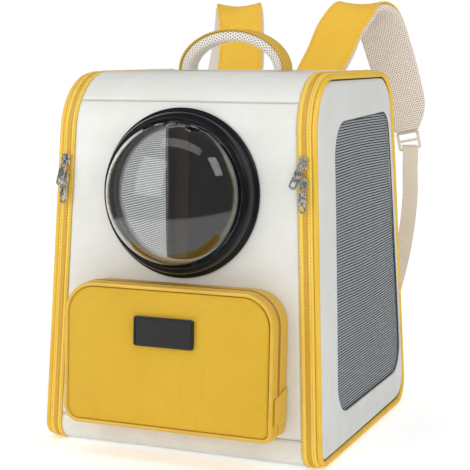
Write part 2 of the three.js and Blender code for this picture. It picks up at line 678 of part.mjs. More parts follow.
// Straps leave the back seam square to it and end in a taper
const seamPoint = (x, depth) => new THREE.Vector3(x, backSeam.y + backSeam.ny * depth,
  backSeam.z + backSeam.nz * depth);
const strapStart = STRAP_SPACING / 2;
const strapPoint = ({ across, behind, above }) => new THREE.Vector3(strapStart + across,
  TOP_DEPTH / 2 + behind, BODY_HEIGHT + above);
const strapCurve = routeCurve([seamPoint(strapStart, GAP), seamPoint(strapStart, STRAP_RISE),
  ...STRAP_ROUTE.map(strapPoint)]);
const strapTwist = [0, STRAP_TWIST];
function strapWidth(share) {
  const taper = Math.max(0, (share - 1 + STRAP_TAPER) / STRAP_TAPER);
  return THREE.MathUtils.lerp(STRAP_WIDTH, STRAP_END_WIDTH, taper * taper);
}

// Ladder buckle: a frame with two slots, flat in the strap's plane just past its end
const slotHeight = (BUCKLE_HEIGHT - 3 * BUCKLE_BAR) / 2;
function buckleGeometry() {
  const [halfW, halfH] = [BUCKLE_WIDTH / 2, BUCKLE_HEIGHT / 2];
  const box = (left, low, right, high) => [[left, low], [right, low], [right, high], [left, high]]
    .map(([x, y]) => new THREE.Vector2(x, y));
  const frame = roundedPath(box(-halfW, -halfH, halfW, halfH), [4, 4, 4, 4], THREE.Shape);
  for (const sign of [1, -1]) {
    const middle = sign * (slotHeight + BUCKLE_BAR) / 2;
    frame.holes.push(new THREE.Path(box(-halfW + BUCKLE_BAR, middle - slotHeight / 2,
      halfW - BUCKLE_BAR, middle + slotHeight / 2)));
  }
  return plate(frame, BUCKLE_THICKNESS);
}
const strapEnd = ribbonFrame(strapCurve, 1, strapTwist);
const buckleCentre = strapEnd.centre.clone().addScaledVector(strapEnd.along, BUCKLE_HEIGHT / 2 + GAP);
const slotCentre = buckleCentre.clone().addScaledVector(strapEnd.along, (slotHeight + BUCKLE_BAR) / 2);
const fromSlot = (out, down) => slotCentre.clone()
  .addScaledVector(strapEnd.outward, out).addScaledVector(strapEnd.along, down);

// The webbing is threaded through the lower slot and sewn flat to its tab at the foot of the back
const onBack = (x, z, depth) => new THREE.Vector3(x, edgeY(z, 1) + depth * Math.cos(lean),
  z + depth * Math.sin(lean));
const webbingLift = GAP + TAB_THICKNESS + GAP + WEBBING_THICKNESS / 2;
const webbingFoot = TAB_CENTRE_HEIGHT - TAB_HEIGHT / 4;
const tabCentre = halfWidth(TAB_CENTRE_HEIGHT) - TAB_MARGIN;
const webbingPoint = ({ across, behind, up }) => new THREE.Vector3(tabCentre + across,
  BASE_DEPTH / 2 + behind, BODY_HEIGHT * up);
const webbingCurve = routeCurve([
  fromSlot(WEBBING_TAIL, -1), fromSlot(0, 0), fromSlot(-WEBBING_TAIL / 2, 3),
  ...WEBBING_ROUTE.map(webbingPoint),
  onBack(tabCentre, TAB_CENTRE_HEIGHT + TAB_HEIGHT / 4, webbingLift + 3 * WEBBING_THICKNESS),
  onBack(tabCentre, webbingFoot, webbingLift + GAP),
]);

for (const [side, tag] of [[-1, 'left'], [1, 'right']]) {
  const layer = depths => ribbon(strapCurve, side, STRAP_STEPS, depths, strapWidth, strapTwist);
  add(`strap_cover_${tag}`, layer([GAP / 2, STRAP_COVER]), YELLOW);
  add(`strap_pad_${tag}`, layer([-GAP / 2, -STRAP_PAD]), BEIGE);
  const buckle = add(`strap_buckle_${tag}`, buckleGeometry(), BEIGE);
  const mirror = v => new THREE.Vector3(side * v.x, v.y, v.z);
  buckle.position.copy(mirror(buckleCentre));
  buckle.quaternion.setFromRotationMatrix(new THREE.Matrix4().makeBasis(
    mirror(strapEnd.across).multiplyScalar(side), mirror(strapEnd.along), mirror(strapEnd.outward)));
  add(`strap_webbing_${tag}`, ribbon(webbingCurve, side, WEBBING_STEPS,
    [-WEBBING_THICKNESS / 2, WEBBING_THICKNESS / 2], () => WEBBING_WIDTH, [STRAP_TWIST, 0]), BEIGE);
  const tabGeometry = closed(new THREE.BoxGeometry(TAB_WIDTH, TAB_THICKNESS, TAB_HEIGHT));
  const tab = add(`webbing_tab_${tag}`, tabGeometry, YELLOW);
  tab.position.copy(onBack(side * tabCentre, TAB_CENTRE_HEIGHT, GAP + TAB_THICKNESS / 2));
  tab.rotation.x = lean;
}

export default pack;
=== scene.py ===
# Pet carrier backpack with a clear bubble window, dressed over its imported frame. Metres, +Z up.
import math

import bmesh
import bpy
import numpy as np
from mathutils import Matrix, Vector


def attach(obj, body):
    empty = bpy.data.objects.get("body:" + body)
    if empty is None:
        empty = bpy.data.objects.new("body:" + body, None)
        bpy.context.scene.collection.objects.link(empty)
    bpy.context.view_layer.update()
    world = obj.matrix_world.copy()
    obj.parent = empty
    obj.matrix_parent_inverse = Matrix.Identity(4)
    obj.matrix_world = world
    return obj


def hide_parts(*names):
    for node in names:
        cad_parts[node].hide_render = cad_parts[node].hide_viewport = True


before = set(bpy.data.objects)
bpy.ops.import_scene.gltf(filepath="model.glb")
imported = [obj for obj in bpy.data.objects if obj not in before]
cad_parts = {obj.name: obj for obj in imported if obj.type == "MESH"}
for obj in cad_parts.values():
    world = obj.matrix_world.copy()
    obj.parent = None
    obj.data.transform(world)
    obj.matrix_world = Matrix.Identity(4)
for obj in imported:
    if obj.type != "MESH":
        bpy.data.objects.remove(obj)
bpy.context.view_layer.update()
scene = bpy.context.scene

# Camera: it looks at the front from the pack's right, from a little above its middle.
CAMERA_AZIMUTH = 22.69
CAMERA_ELEVATION = 7.88
CAMERA_DISTANCE = 1.57938
CAMERA_TARGET = Vector((-0.00015, 0.0, 0.22474))
FOCAL_LENGTH = 101.13


def toward(azimuth, elevation):
    """Unit vector from the pack to an azimuth, 0 in front of it and 90 on its right, and an elevation."""
    a, e = math.radians(azimuth), math.radians(elevation)
    return Vector((math.sin(a) * math.cos(e), -math.cos(a) * math.cos(e), math.sin(e)))


def placed(name, data, location, facing):
    """A camera or lamp at a location, with its back along facing."""
    thing = bpy.data.objects.new(name, data)
    scene.collection.objects.link(thing)
    thing.location = location
    thing.rotation_euler = facing.to_track_quat("Z", "Y").to_euler()
    return thing


camera_side = toward(CAMERA_AZIMUTH, CAMERA_ELEVATION)
camera = placed("camera", bpy.data.cameras.new("camera"), CAMERA_TARGET + camera_side * CAMERA_DISTANCE,
                camera_side)
camera.data.lens = FOCAL_LENGTH
camera.data.sensor_width = 36
scene.camera = camera
scene.view_settings.view_transform = "Standard"

# Studio: a pale floor in a white room, with one large softbox on the left of the camera, a wide one
# overhead and a small one on the right. Each softbox is two lamps: one lights, and a stronger one shows
# only in reflections, where the room and the far floor are darker than they are to the camera.
# A softbox is its name, azimuth, elevation, distance, width, height and watts.
SOFTBOXES = (("key", -30, 19, 1.6, 0.86, 1.0, 3.4), ("overhead", 0, 64, 1.5, 1.25, 0.42, 1.6),
             ("right", 68, 38, 1.5, 0.5, 0.62, 2.0))
SHINE = 4.0
TABLE_EDGE = 0.75
FLOOR_SIZE = 14.0
ROOM_LIGHT = 0.72
ROOM_GLOSS = 0.1

for name, azimuth, elevation, distance, wide, high, watts in SOFTBOXES:
    for role, share in (("light", 1.0), ("shine", SHINE)):
        lamp = bpy.data.lights.new(f"{name}_{role}", "AREA")
        lamp.shape = "RECTANGLE"
        lamp.size = wide
        lamp.size_y = high
        lamp.energy = watts * share
        direction = toward(azimuth, elevation)
        softbox = placed(lamp.name, lamp, CAMERA_TARGET + direction * distance, direction)
        softbox.visible_glossy = role == "shine"
        softbox.visible_diffuse = role == "light"


def put(tree, kind, inputs=None, **settings):
    """Adds a shader node to a tree. Each of its inputs is given a value, or a socket to be linked to."""
    node = tree.nodes.new("ShaderNode" + kind)
    for key, value in settings.items():
        setattr(node, key, value)
    for key, value in (inputs or {}).items():
        if isinstance(value, bpy.types.NodeSocket):
            tree.links.new(value, node.inputs[key])
        else:
            node.inputs[key].default_value = value
    return node


def math_node(tree, operation, *values, clamp=False):
    """The result of a Math node on one, two or three values or sockets."""
    return put(tree, "Math", dict(enumerate(values)), operation=operation, use_clamp=clamp).outputs[0]


def ranged(tree, value, low, high, start=0.0, end=1.0, **settings):
    """A value or socket that goes from low to high while another goes from start to end."""
    ends = {"Value": value, "From Min": start, "From Max": end, "To Min": low, "To Max": high}
    return put(tree, "MapRange", ends, **settings).outputs[0]


def linear(code):
    """Linear colour of a six-digit colour code."""
    s = np.array([int(code[k:k + 2], 16) for k in (0, 2, 4)]) / 255
    return (*np.where(s < 0.04045, s / 12.92, ((s + 0.055) / 1.055) ** 2.4), 1.0)


world = bpy.data.worlds.new("room")
scene.world = world
world.use_nodes = True
world.node_tree.nodes.clear()
rays = put(world.node_tree, "LightPath").outputs
clear = math_node(world.node_tree, "MAXIMUM", rays["Is Camera Ray"], rays["Is Transmission Ray"])
lit = ranged(world.node_tree, clear, ROOM_LIGHT, 1.0)
mirrored = math_node(world.node_tree, "SUBTRACT", rays["Glossy Depth"], rays["Is Diffuse Ray"], clamp=True)
brightness = ranged(world.node_tree, mirrored, lit, ROOM_GLOSS)
backdrop = put(world.node_tree, "Background", {"Color": (1, 1, 1, 1), "Strength": brightness})
put(world.node_tree, "OutputWorld", {"Surface": backdrop.outputs[0]})


def shaded(name, **constants):
    """A material with a Principled BSDF whose named inputs hold constants. Returns material, tree, shader."""
    material = bpy.data.materials.new(name)
    material.use_nodes = True
    tree = material.node_tree
    tree.nodes.clear()
    shader = put(tree, "BsdfPrincipled", {k.replace("_", " "): v for k, v in constants.items()})
    put(tree, "OutputMaterial", {"Surface": shader.outputs[0]})
    return material, tree, shader


floor_material, floor_tree, floor_shader = shaded("studio_floor", Roughness=0.8, Emission_Strength=0.32,
                                                  Emission_Color=(1, 1, 1, 1))
floor_shader.inputs["Specular IOR Level"].default_value = 0.0
floor_noise = put(floor_tree, "TexNoise", {"Scale": 3.0, "Detail": 2.0}).outputs[0]
floor_tone = put(floor_tree, "Mix", {0: floor_noise, 6: linear("FCFCFC"), 7: linear("F8F8F8")},
                 data_type="RGBA")
floor_tree.links.new(floor_tone.outputs[2], floor_shader.inputs["Base Color"])
floor_rays = put(floor_tree, "LightPath").outputs
away = put(floor_tree, "VectorMath", {0: put(floor_tree, "TexCoord").outputs["Object"]},
           operation="LENGTH").outputs[1]
beyond = ranged(floor_tree, away, 0.0, 1.0, TABLE_EDGE, TABLE_EDGE * 1.15)
mirrored = math_node(floor_tree, "SUBTRACT", floor_rays["Glossy Depth"], floor_rays["Is Diffuse Ray"],
                     clamp=True)
dark = put(floor_tree, "Emission", {"Color": (1, 1, 1, 1), "Strength": ROOM_GLOSS}).outputs[0]
fading = ranged(floor_tree, beyond, 0.68, 1.0)
both = put(floor_tree, "MixShader", {0: math_node(floor_tree, "MULTIPLY", fading, mirrored),
                                     1: floor_shader.outputs[0], 2: dark}).outputs[0]
floor_tree.links.new(both, floor_tree.nodes["Material Output"].inputs["Surface"])
bpy.ops.mesh.primitive_plane_add(size=FLOOR_SIZE)
floor = bpy.context.object
floor.name = "floor"
floor.data.materials.append(floor_material)

# Wrap: white coated cloth over board, which runs up the front, over the top, down the back and along
# the base, and is sewn at four seams. The front has a round hole behind the bubble.
MM = 0.001
BODY_HEIGHT = 420 * MM
BASE_WIDTH, TOP_WIDTH = 337 * MM, 300 * MM
BASE_DEPTH, TOP_DEPTH = 336 * MM, 290 * MM
CORNER_RADII = (22 * MM, 68 * MM, 46 * MM, 34 * MM)
LOWER_SEAM, UPPER_SEAM = 33 * MM, 389 * MM
BACK_SEAM, BACK_BASE_SEAM = 406 * MM, 30 * MM
BAND_WIDTH = 21.5 * MM
SEAM_GAP = 0.15 * MM
CLOTH_THICKNESS = 2.4 * MM
RING_HEIGHT = 290 * MM
HOLE_RADIUS = 73.4 * MM
lean = math.atan2((BASE_DEPTH - TOP_DEPTH) / 2, BODY_HEIGHT)


def rounded_line(corners, radii, arc_steps=24):
    """A closed line round a polygon, clockwise, with an arc in each corner: each arc turns the normal of
    the side before it into that of the side after it. Returns points and outward normals."""
    points, normals = [], []
    for k, corner in enumerate(corners):
        before, after = np.array(corners[k - 1]), np.array(corners[(k + 1) % len(corners)])
        into = (corner - before) / np.linalg.norm(corner - before)
        away = (after - corner) / np.linalg.norm(after - corner)
        turn = math.acos(into @ away)
        normal = np.array([-into[1], into[0]])
        centre = corner - into * radii[k] * math.tan(turn / 2) - normal * radii[k]
        angle = math.atan2(normal[1], normal[0]) - turn * np.linspace(0, 1, arc_steps + 1)
        around = np.stack([np.cos(angle), np.sin(angle)], -1)
        points.append(centre + radii[k] * around)
        normals.append(around)
    return np.vstack(points), np.vstack(normals)


def along(line, distance):
    """Points and unit normals of a closed line at distances along it, by linear interpolation."""
    points, normals = (np.vstack([part, part[:1]]) for part in line)
    run = np.concatenate([[0], np.cumsum(np.linalg.norm(np.diff(points, axis=0), axis=1))])
    at = np.mod(distance, run[-1])
    spot, out = (np.stack([np.interp(at, run, part[:, k]) for k in (0, 1)], -1) for part in (points, normals))
    return spot, out / np.linalg.norm(out, axis=-1, keepdims=True)


def girth(line):
    """Length of a closed line."""
    return np.linalg.norm(np.diff(np.vstack([line[0], line[0][:1]]), axis=0), axis=1).sum()


side_line = rounded_line(np.array([[-BASE_DEPTH / 2, 0], [-TOP_DEPTH / 2, BODY_HEIGHT],
                                   [TOP_DEPTH / 2, BODY_HEIGHT], [BASE_DEPTH / 2, 0]]), CORNER_RADII)
side_girth = girth(side_line)
survey = np.linspace(0, side_girth, 8000, endpoint=False)
survey_points = along(side_line, survey)[0]


def distance_at(height, front):
    """How far along the side outline its front, or its back, passes a height."""
    y, z = survey_points.T
    on_side = (y < 0) == front
    crossing = np.flatnonzero(on_side & ((z - height) * (np.roll(z, -1) - height) <= 0))
    return survey[crossing[0]]


def half_width(z):
    """Half the body's width at a height: it narrows evenly from the base to the top."""
    return (BASE_WIDTH + (TOP_WIDTH - BASE_WIDTH) * z / BODY_HEIGHT) / 2


def on_wrap(distance, depth, across):
    """Points of the wrap: so far along the side outline, out along its normal, and sideways by
    across(half the body's width there)."""
    spot, out = along(side_line, distance)
    y, z = spot[..., 0] + out[..., 0] * depth, spot[..., 1] + out[..., 1] * depth
    return np.stack([across(half_width(z)), y, z], -1)


def mesh_piece(name, patches, materials, weld=True):
    """An object from patches. A patch is a grid of points, its uv grid in metres, and which of its two
    directions close; a closed direction has one more line of uvs. Neighbouring points are joined by quads."""
    vertices, faces, corners, slots, count = [], [], [], [], 0
    for patch in patches:
        points, uv = patch["points"], patch["uv"]
        closed = patch.get("closed", (False, False))
        rows, columns = points.shape[:2]
        i, j = np.meshgrid(np.arange(rows - (not closed[0])), np.arange(columns - (not closed[1])),
                           indexing="ij")
        ring = [(i, j), (i, j + 1), (i + 1, j + 1), (i + 1, j)]
        if patch.get("flip"):
            ring.reverse()
        quads = np.stack([(a % rows) * columns + b % columns for a, b in ring], -1).reshape(-1, 4)
        vertices.append(points.reshape(-1, 3))
        faces.append(quads + count)
        corners.append(np.stack([uv[a, b] for a, b in ring], -2).reshape(-1, 2))
        slots.append(np.full(len(quads), patch.get("slot", 0)))
        count += rows * columns
    mesh = bpy.data.meshes.new(name)
    mesh.from_pydata(np.vstack(vertices), [], np.vstack(faces).tolist())
    mesh.uv_layers.new(name="cloth").data.foreach_set("uv", np.vstack(corners).astype(np.float32).ravel())
    mesh.polygons.foreach_set("material_index", np.concatenate(slots).astype(np.int32))
    mesh.polygons.foreach_set("use_smooth", np.ones(len(mesh.polygons), bool))
    for material in materials:
        mesh.materials.append(material)
    if weld:
        shape = bmesh.new()
        shape.from_mesh(mesh)
        bmesh.ops.remove_doubles(shape, verts=shape.verts, dist=2e-6)
        shape.to_mesh(mesh)
        shape.free()
    thing = bpy.data.objects.new(name, mesh)
    scene.collection.objects.link(thing)
    return thing


def grid(rows, columns, closed=(False, False)):
    """Two grids that run from 0 to 1 by rows and by columns. A closed direction leaves its end out."""
    return np.meshgrid(np.linspace(0, 1, rows, endpoint=not closed[0]),
                       np.linspace(0, 1, columns, endpoint=not closed[1]), indexing="ij")


def ripple(x, y, seed, size):
    """Smooth unevenness from -1 to 1: five crossed sine waves of about a size, with seeded directions."""
    chance = np.random.default_rng(seed)
    total = 0
    for _ in range(5):
        angle, phase = chance.uniform(0, 2 * np.pi), chance.uniform(0, 2 * np.pi)
        wavelength = size * chance.uniform(0.7, 1.6)
        total = total + np.sin((x * math.cos(angle) + y * math.sin(angle)) * 2 * np.pi / wavelength + phase)
    return total / 5


def thickened(thing, thickness, inner_slot=0):
    """Gives a sheet a wall behind its outer face; the inner wall takes another of its materials."""
    wall = thing.modifiers.new("wall", "SOLIDIFY")
    wall.thickness = thickness
    wall.offset = -1
    wall.material_offset = inner_slot
    wall.use_even_offset = True
    return thing


def effect(name, inputs, outputs, build):
    """A shader node group with named inputs and outputs. build(tree, given) returns the output sockets."""
    tree = bpy.data.node_groups.new(name, "ShaderNodeTree")
    for label, default in inputs.items():
        kind = "NodeSocketVector" if default is None else "NodeSocketFloat"
        socket = tree.interface.new_socket(label, in_out="INPUT", socket_type=kind)
        if default is not None:
            socket.default_value = default
    for label in outputs:
        tree.interface.new_socket(label, in_out="OUTPUT", socket_type="NodeSocketFloat")
    results = build(tree, tree.nodes.new("NodeGroupInput").outputs)
    end = tree.nodes.new("NodeGroupOutput")
    for label, socket in zip(outputs, results):
        tree.links.new(socket, end.inputs[label])
    return tree


def use(tree, group, **inputs):
    """Places an effect in a material and returns its outputs."""
    return put(tree, "Group", inputs, node_tree=group).outputs


def build_grain(tree, given):
    """Pebbled grain of coated cloth: small cells with fine noise over them, and a broad uneven tone."""
    spot = put(tree, "TexCoord").outputs["Object"]
    cells = put(tree, "TexVoronoi", {"Vector": spot, "Scale": given["Scale"]}, feature="SMOOTH_F1")
    fine = put(tree, "TexNoise", {"Vector": spot, "Scale": 2600.0, "Detail": 2.0}).outputs[0]
    broad = put(tree, "TexNoise", {"Vector": spot, "Scale": 14.0, "Detail": 3.0,
                                   "Distortion": 0.6}).outputs[0]
    height = math_node(tree, "MULTIPLY_ADD", fine, 0.25, cells.outputs["Distance"])
    return height, ranged(tree, broad, 0.0, 1.0, 0.3, 0.7)


def build_creases(tree, given):
    """Soft creases: folded noise, drawn out lengthwise, sharp where it turns over."""
    spot = put(tree, "TexCoord").outputs["Object"]
    drawn = put(tree, "Mapping", {"Vector": spot, "Scale": (1.0, 1.0, 0.45), "Rotation": (0.3, 0.5, 0.0)})
    noise = put(tree, "TexNoise", {"Vector": drawn.outputs[0], "Scale": given["Scale"], "Detail": 2.0,
                                   "Distortion": 0.8}).outputs[0]
    fold = math_node(tree, "ABSOLUTE", math_node(tree, "SUBTRACT", noise, 0.5))
    return (math_node(tree, "POWER", math_node(tree, "MULTIPLY", fold, 2.0, clamp=True), 0.7),)


def build_soiling(tree, given):
    """Handling marks: a mask that is strongest low down and breaks up into patches."""
    spot = put(tree, "TexCoord").outputs["Object"]
    height = put(tree, "SeparateXYZ", {"Vector": spot}).outputs["Z"]
    low = ranged(tree, height, 1.0, 0.0, 0.0, given["Reach"])
    patches = put(tree, "TexNoise", {"Vector": spot, "Scale": 38.0, "Detail": 5.0,
                                     "Roughness": 0.62}).outputs[0]
    worn = ranged(tree, patches, 0.0, 1.0, 0.42, 0.75)
    reach = math_node(tree, "ADD", math_node(tree, "MULTIPLY", low, 0.7), 0.3)
    return (math_node(tree, "MULTIPLY", reach, worn),)


coated_grain = effect("coated_grain", {"Scale": 900.0}, ["Height", "Tone"], build_grain)
soft_creases = effect("soft_creases", {"Scale": 9.0}, ["Height"], build_creases)
soiling = effect("soiling", {"Reach": 0.2}, ["Mask"], build_soiling)


def colour_mix(tree, factor, first, second):
    """A colour between two, by a factor. The colour sockets of a Mix node are its sixth and seventh."""
    return put(tree, "Mix", {0: factor, 6: first, 7: second}, data_type="RGBA").outputs[2]


def bumped(tree, shader, *layers):
    """Feeds a shader's normal with bumps on each other: pairs of a height and its depth in metres."""
    normal = None
    for height, depth in layers:
        inputs = {"Height": height, "Distance": depth, "Strength": 1.0}
        if normal is not None:
            inputs["Normal"] = normal
        normal = put(tree, "Bump", inputs).outputs[0]
    tree.links.new(normal, shader.inputs["Normal"])


def coated_cloth(name, light, dark, soil, roughness, crease_depth):
    """Coated cloth: two near tones in broad patches, a little soiling, pebbled grain and soft creases."""
    material, tree, shader = shaded(name)
    grain = use(tree, coated_grain, Scale=900.0)
    dirt = use(tree, soiling, Reach=0.16)["Mask"]
    tone = colour_mix(tree, grain["Tone"], linear(light), linear(dark))
    faint = math_node(tree, "MULTIPLY", dirt, 0.22)
    tree.links.new(colour_mix(tree, faint, tone, linear(soil)), shader.inputs["Base Color"])
    rough = ranged(tree, grain["Tone"], roughness - 0.05, roughness + 0.07)
    tree.links.new(rough, shader.inputs["Roughness"])
    folds = use(tree, soft_creases, Scale=8.0)["Height"]
    bumped(tree, shader, (folds, crease_depth), (grain["Height"], 0.00008))
    return material


white_panel = coated_cloth("white_panel", "ECECE7", "E5E5DF", "B9B2A2", 0.42, 0.0011)
grey_panel = coated_cloth("grey_panel", "E2E3E0", "DADBD7", "AFABA0", 0.46, 0.0009)


def build_weave(tree, given):
    """Plain weave: warp and weft threads take turns on top, each round across and bowed along."""
    parts = put(tree, "SeparateXYZ", {"Vector": given["Vector"]}).outputs
    u, v = (math_node(tree, "DIVIDE", parts[k], given["Pitch"]) for k in ("X", "Y"))
    whole = math_node(tree, "ADD", math_node(tree, "FLOOR", u), math_node(tree, "FLOOR", v))
    turn = math_node(tree, "FLOORED_MODULO", whole, 2.0)
    waves = (math_node(tree, "SINE", math_node(tree, "MULTIPLY", w, math.pi)) for w in (u, v))
    round_u, round_v = (math_node(tree, "ABSOLUTE", wave) for wave in waves)
    warp = math_node(tree, "MULTIPLY", round_u, math_node(tree, "MULTIPLY_ADD", round_v, 0.5, 0.5))
    weft = math_node(tree, "MULTIPLY", round_v, math_node(tree, "MULTIPLY_ADD", round_u, 0.5, 0.5))
    height = put(tree, "Mix", {"Factor": turn, "A": warp, "B": weft}).outputs["Result"]
    slub = put(tree, "TexNoise", {"Vector": given["Vector"], "Scale": 420.0, "Detail": 2.0}).outputs[0]
    return height, math_node(tree, "MULTIPLY_ADD", height, 0.5, math_node(tree, "MULTIPLY", slub, 0.5))


plain_weave = effect("plain_weave", {"Vector": None, "Pitch": 0.0006}, ["Height", "Tone"], build_weave)


def woven_cloth(name, light, dark, pitch, roughness, crease_depth, sheen=0.15, depth=0.00012):
    """Woven cloth: threads between a light and a dark tone, broad unevenness, creases and a little sheen."""
    material, tree, shader = shaded(name)
    shader.inputs["Sheen Weight"].default_value = sheen
    shader.inputs["Sheen Roughness"].default_value = 0.5
    shader.inputs["Specular IOR Level"].default_value = 0.3
    flat = put(tree, "UVMap", uv_map="cloth").outputs[0]
    weave = use(tree, plain_weave, Vector=flat, Pitch=pitch)
    broad = use(tree, coated_grain, Scale=500.0)["Tone"]
    shade = math_node(tree, "ADD", math_node(tree, "MULTIPLY", weave["Tone"], 0.6),
                      math_node(tree, "MULTIPLY", broad, 0.4))
    tree.links.new(colour_mix(tree, shade, linear(dark), linear(light)), shader.inputs["Base Color"])
    rough = ranged(tree, weave["Tone"], roughness + 0.08, roughness - 0.08)
    tree.links.new(rough, shader.inputs["Roughness"])
    folds = use(tree, soft_creases, Scale=11.0)["Height"]
    bumped(tree, shader, (folds, crease_depth), (weave["Height"], depth))
    return material


dark_lining = woven_cloth("dark_lining", "1C1E22", "0E0F12", 0.0012, 0.6, 0.001, sheen=0.0)
brown_lining = woven_cloth("brown_lining", "6A543E", "4C3B2B", 0.0006, 0.6, 0.0004, sheen=0.0)


def hem(edge, roll=1.6 * MM, drop=1.3 * MM):
    """How far cloth turns down near its sewn edge: a bell curve of the distance to it."""
    return -drop * np.exp(-(edge / roll) ** 2)


def wrap_panel(name, start, end, rows, lift, materials, hole=None):
    """A panel of the wrap between two distances along the side outline. lift(x, s, edge) is how far it
    stands out. With a hole, rings of points run from the hole's circle out to the panel's border."""
    if hole is None:
        b, a = grid(rows, 120)
        a, s = 2 * a - 1, start + (end - start) * b
        width = half_width(along(side_line, s)[0][..., 1]) - BAND_WIDTH
        x = a * width
    else:
        t, turn = grid(rows, 400, (False, True))
        quarter, share = np.divmod(turn * 4, 1)
        sides, rising, one = [quarter == k for k in range(3)], 2 * share - 1, np.ones_like(share)
        a = np.select(sides, [one, -rising, -one], rising)
        b = np.select(sides, [rising, one, -rising], -one)
        s = start + (end - start) * (b + 1) / 2
        x = a * (half_width(along(side_line, s)[0][..., 1]) - BAND_WIDTH)
        angle = np.arctan2(s - hole, x)
        x = HOLE_RADIUS * np.cos(angle) * (1 - t) + x * t
        s = (hole + HOLE_RADIUS * np.sin(angle)) * (1 - t) + s * t
        width = half_width(along(side_line, s)[0][..., 1]) - BAND_WIDTH
    edge = np.minimum(np.minimum(s - start, end - s), width - np.abs(x))
    points = on_wrap(s, lift(x, s, np.maximum(edge, 0)), lambda half: x * (half - BAND_WIDTH) / width)
    uv = np.stack([x, s], -1)
    if hole is not None:
        uv = np.concatenate([uv, uv[:, :1]], 1)
    patch = {"points": points, "uv": uv, "closed": (False, hole is not None), "flip": hole is not None}
    piece = mesh_piece(name, [patch], materials)
    thickened(piece, CLOTH_THICKNESS, 1)
    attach(piece, "pack")
    return piece


lower_seam, upper_seam = distance_at(LOWER_SEAM, True), distance_at(UPPER_SEAM, True)
back_seam, back_base_seam = distance_at(BACK_SEAM, False), distance_at(BACK_BASE_SEAM, False)
ring_distance = distance_at(RING_HEIGHT, True)


def board_lift(x, s, edge):
    """Cloth on board: hemmed edges and a slow unevenness that stays below the frame's face."""
    return hem(edge) - 0.35 * MM * (1 + ripple(x, s, 3, 0.16)) - 0.15 * MM * (1 + ripple(x, s, 5, 0.05))


front_cloth = wrap_panel("front_cloth", lower_seam + SEAM_GAP, upper_seam - SEAM_GAP, 40, board_lift,
                         [white_panel, dark_lining], hole=ring_distance)
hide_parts("front_panel")
top_cloth = wrap_panel("top_cloth", upper_seam + SEAM_GAP, back_seam - SEAM_GAP, 90, board_lift,
                       [white_panel, dark_lining])
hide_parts("top_panel")
base_cloth = wrap_panel("base_cloth", back_base_seam + SEAM_GAP - side_girth, lower_seam - SEAM_GAP, 100,
                        board_lift, [white_panel, dark_lining])
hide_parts("base_panel")

# A dark tape behind each seam of the wrap keeps light from passing between the panels.
strips = []
for seam in (lower_seam, upper_seam, back_seam, back_base_seam):
    b, a = grid(5, 60)
    s = seam + (b - 0.5) * 12 * MM
    points = on_wrap(s, -2.75 * MM - 0 * s, lambda half: (2 * a - 1) * (half - BAND_WIDTH + 1 * MM))
    strips.append({"points": points, "uv": np.stack([points[..., 0], s], -1)})
seam_tapes = mesh_piece("seam_tapes", strips, [dark_lining], weld=False)
thickened(seam_tapes, 0.5 * MM)
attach(seam_tapes, "pack")

# Back: the panel that lies against the wearer. Its field of beige air mesh is quilted to the board by a
# sewn frame and two seams down it, with foam behind it; round the field it is the wrap's white cloth.
BACK_FIELD = 0.7
BACK_FIELD_FROM, BACK_FIELD_TO = 0.09, 0.86
BACK_CHANNELS = (-0.235, 0.235)
BACK_REACH = 140 * MM
BACK_PUFF, PUFF_ROUNDING = 4.5 * MM, 9 * MM
HOLE_PITCH = 3.3 * MM


def build_air_mesh(tree, given):
    """Spacer mesh: round holes on two offset square lattices, which make a honeycomb, in knitted threads."""
    parts = put(tree, "SeparateXYZ", {"Vector": given["Vector"]}).outputs
    nearest = None
    for shift in (0.0, 0.5):
        squares = []
        for part, stretch in (("X", 1.0), ("Y", math.sqrt(3))):
            pitch = math_node(tree, "MULTIPLY", given["Pitch"], stretch)
            cell = math_node(tree, "ADD", math_node(tree, "DIVIDE", parts[part], pitch), shift)
            off_middle = math_node(tree, "SUBTRACT", math_node(tree, "FRACT", cell), 0.5)
            offset = math_node(tree, "MULTIPLY", off_middle, stretch)
            squares.append(math_node(tree, "POWER", math_node(tree, "ABSOLUTE", offset), 2.0))
        away = math_node(tree, "SQRT", math_node(tree, "ADD", *squares))
        nearest = away if nearest is None else math_node(tree, "MINIMUM", nearest, away)
    hole = ranged(tree, nearest, 1.0, 0.0, 0.17, 0.33, interpolation_type="SMOOTHSTEP")
    knit = put(tree, "TexNoise", {"Vector": given["Vector"], "Scale": 1400.0, "Detail": 2.0}).outputs[0]
    height = math_node(tree, "SUBTRACT", math_node(tree, "MULTIPLY", knit, 0.3), hole)
    return hole, height, knit


spacer_mesh = effect("spacer_mesh", {"Vector": None, "Pitch": HOLE_PITCH}, ["Hole", "Height", "Knit"],
                     build_air_mesh)


def air_mesh_cloth(name, light, dark, hole_shade, pitch):
    """Air mesh: knitted threads in two near tones, with painted shade darkening its holes, matt and slightly
    hairy.
    """
    material, tree, shader = shaded(name, Sheen_Weight=0.35, Sheen_Roughness=0.5)
    shader.inputs["Specular IOR Level"].default_value = 0.2
    flat = put(tree, "UVMap", uv_map="cloth").outputs[0]
    mesh = use(tree, spacer_mesh, Vector=flat, Pitch=pitch)
    thread = colour_mix(tree, mesh["Knit"], linear(dark), linear(light))
    # Painted shade: the holes are mixed towards the dark hole colour.
    shade = math_node(tree, "MULTIPLY", mesh["Hole"], 0.85)
    tree.links.new(colour_mix(tree, shade, thread, linear(hole_shade)), shader.inputs["Base Color"])
    tree.links.new(ranged(tree, mesh["Hole"], 0.78, 0.95), shader.inputs["Roughness"])
    folds = use(tree, soft_creases, Scale=14.0)["Height"]
    bumped(tree, shader, (folds, 0.0007), (mesh["Height"], 0.0007))
    return material


# The third colour is painted shade inside the mesh's holes.
beige_mesh = air_mesh_cloth("beige_mesh", "FAF2E8", "EFE3D5", "A98B70", HOLE_PITCH)


